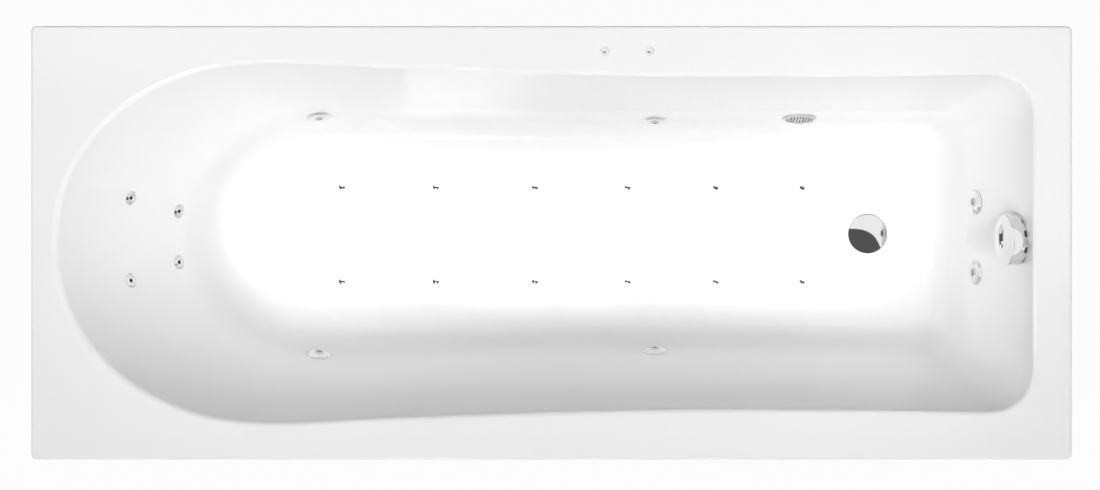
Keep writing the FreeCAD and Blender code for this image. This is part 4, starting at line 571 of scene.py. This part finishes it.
def black_rubber():
    finish = Finish("black_rubber", (0.028, 0.028, 0.028), 0.72)
    grain = finish.effect(MOULDED, Scale=1100.0)
    finish.tint(grain["Patches"], (0.04, 0.04, 0.04))
    finish.tint(finish.effect(DUST, Amount=0.4)["Mask"], (0.2, 0.19, 0.18))
    finish.raise_by(grain["Height"], 0.00006)
    return finish.material


def sawn_pine():
    finish = Finish("sawn_pine", (0.66, 0.5, 0.32), 0.72)
    grain = finish.effect(SAWN)
    finish.tint(grain["Bands"], (0.5, 0.33, 0.18))
    finish.shift("Roughness", grain["Fibres"], 0.6, 0.85)
    finish.raise_by(grain["Fibres"], 0.0003)
    return finish.material


def chipboard():
    finish = Finish("chipboard", (0.58, 0.45, 0.29), 0.8)
    chips = finish.effect(CHIPS)
    finish.tint(chips["Tone"], (0.44, 0.31, 0.18))
    finish.raise_by(chips["Height"], 0.0004)
    return finish.material


def turned_brass():
    finish = Finish("turned_brass", (0.72, 0.55, 0.27), 0.24, metallic=1.0)
    lines = finish.effect(DRAWN, Stretch=(60.0, 60.0, 1400.0))
    finish.shift("Roughness", lines["Lines"], 0.16, 0.36)
    finish.raise_by(lines["Lines"], 0.00002)
    return finish.material


FINISHES = {
    "acrylic": white_acrylic(),
    "timber": sawn_pine(),
    "frame_paint": sprayed_steel(),
    "zinc_steel": plated_steel("zinc_plate", (0.66, 0.66, 0.64), (60.0, 60.0, 900.0)),
    "black_rubber": black_rubber(),
    "chrome": polished_chrome(),
    "grey_grille": satin_grille(),
    "nozzle_grey": nozzle_chrome(),
    "white_pvc": moulded_plastic("white_pipe", (0.8, 0.8, 0.78), 0.2, 0.24, 220.0, 0.00003),
    "grey_pvc": moulded_plastic("grey_fittings", (0.36, 0.37, 0.38), 0.3, 0.36, 420.0, 0.00006),
    "clear_hose": moulded_plastic("milky_hose", (0.72, 0.74, 0.74), 0.15, 0.3, 180.0, 0.00003),
    "black_plastic": moulded_plastic("black_moulding", (0.035, 0.035, 0.038), 0.35, 0.4, 800.0, 0.00008),
    "cast_aluminium": cast_aluminium(),
    "box_plastic": moulded_plastic("grey_case", (0.6, 0.61, 0.62), 0.25, 0.45, 900.0, 0.00008),
    "spring_steel": plated_steel("spring_wire", (0.5, 0.5, 0.5), (500.0, 500.0, 60.0)),
    "brass": turned_brass(),
}
CHIPBOARD = chipboard()


def dress_nodes():
    """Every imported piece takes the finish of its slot."""
    for part in frame["record"]["subparts"]:
        node = NODES[part["node"]]
        material = CHIPBOARD if part["node"] == "base_board" else FINISHES[part["material_slot"]]
        node.data.materials.clear()
        node.data.materials.append(material)


# ---------------------------------------------------------------- pieces that only show

SPRING_WIRE = 0.8 * MM
SPRING_TURNS = 7.0
CLOSED_TURNS = 0.8  # lie flat at each end of a spring
STUD_RADIUS = 6.0 * MM
THREAD_PITCH = 1.75 * MM
THREAD_WIDTH = 0.45 * MM


def round_tube(name, points, radius, sides):
    """A closed tube of one radius along a line of points."""
    form = bmesh.new()
    rings = []
    for index, point in enumerate(points):
        ahead = points[min(index + 1, len(points) - 1)] - points[max(index - 1, 0)]
        side = ahead.cross(Z_AXIS).normalized()
        up = side.cross(ahead).normalized()
        turns = [2 * math.pi * corner / sides for corner in range(sides)]
        spokes = [math.cos(turn) * side + math.sin(turn) * up for turn in turns]
        rings.append([form.verts.new(point + radius * spoke) for spoke in spokes])
    for first, second in zip(rings, rings[1:]):
        for corner in range(sides):
            after = (corner + 1) % sides
            form.faces.new((first[corner], first[after], second[after], second[corner]))
    form.faces.new(list(reversed(rings[0])))
    form.faces.new(rings[-1])
    bmesh.ops.recalc_face_normals(form, faces=form.faces)
    data = bpy.data.meshes.new(name)
    form.to_mesh(data)
    form.free()
    data.shade_smooth()
    piece = bpy.data.objects.new(name, data)
    bpy.context.scene.collection.objects.link(piece)
    return piece


def helix(centre, radius, low, high, turns, flat=0.0, steps=20):
    """Points up a coil, whose first and last turns may lie flat."""
    points = []
    for step in range(int(turns * steps) + 1):
        turn = step / steps
        share = min(max((turn - flat) / (turns - 2 * flat), 0.0), 1.0)
        angle = 2 * math.pi * turn
        x, y = centre[0] + radius * math.cos(angle), centre[1] + radius * math.sin(angle)
        points.append(Vector((x, y, low + (high - low) * share)))
    return points


def add_button_springs():
    """The coil under each air button, in place of its spring piece and at that piece's height."""
    for button in ("pump_button", "blower_button"):
        low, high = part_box(button + "_spring")
        centre = ((low[0] + high[0]) / 2, (low[1] + high[1]) / 2)
        radius = (high[0] - low[0]) / 2 - SPRING_WIRE / 2
        half = SPRING_WIRE / 2
        points = helix(centre, radius, low[2] + half, high[2] - half, SPRING_TURNS, CLOSED_TURNS)
        coil = round_tube(button + "_coil", points, half, 8)
        coil.data.materials.append(FINISHES["spring_steel"])
        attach(coil, "bath")
        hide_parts(button + "_spring")
        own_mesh(coil)


def stud_rods():
    """The box of each plain rod among the levelling studs."""
    form = bmesh.new()
    form.from_mesh(NODES["levelling_studs"].data)
    bmesh.ops.remove_doubles(form, verts=form.verts, dist=0.00001)
    waiting = set(form.verts)
    rods = []
    while waiting:
        island, edge = set(), [waiting.pop()]
        while edge:
            vert = edge.pop()
            island.add(vert)
            for link in vert.link_edges:
                other = link.other_vert(vert)
                if other in waiting:
                    waiting.discard(other)
                    edge.append(other)
        low = [min(vert.co[axis] for vert in island) for axis in range(3)]
        high = [max(vert.co[axis] for vert in island) for axis in range(3)]
        if abs(high[0] - low[0] - 2 * STUD_RADIUS) < 0.2 * MM:
            rods.append((low, high))
    form.free()
    return sorted(rods)


def add_stud_threads():
    """The rolled thread that stands out round each levelling stud."""
    for number, (low, high) in enumerate(stud_rods()):
        centre = ((low[0] + high[0]) / 2, (low[1] + high[1]) / 2)
        start, end = low[2] + THREAD_PITCH, high[2] - THREAD_PITCH
        points = helix(centre, STUD_RADIUS, start, end, (end - start) / THREAD_PITCH)
        thread = round_tube("stud_thread_%d" % (number + 1), points, THREAD_WIDTH / 2, 4)
        thread.data.materials.append(FINISHES["zinc_steel"])
        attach(thread, "bath")


dress_nodes()
add_button_springs()
add_stud_threads()
set_up_studio()
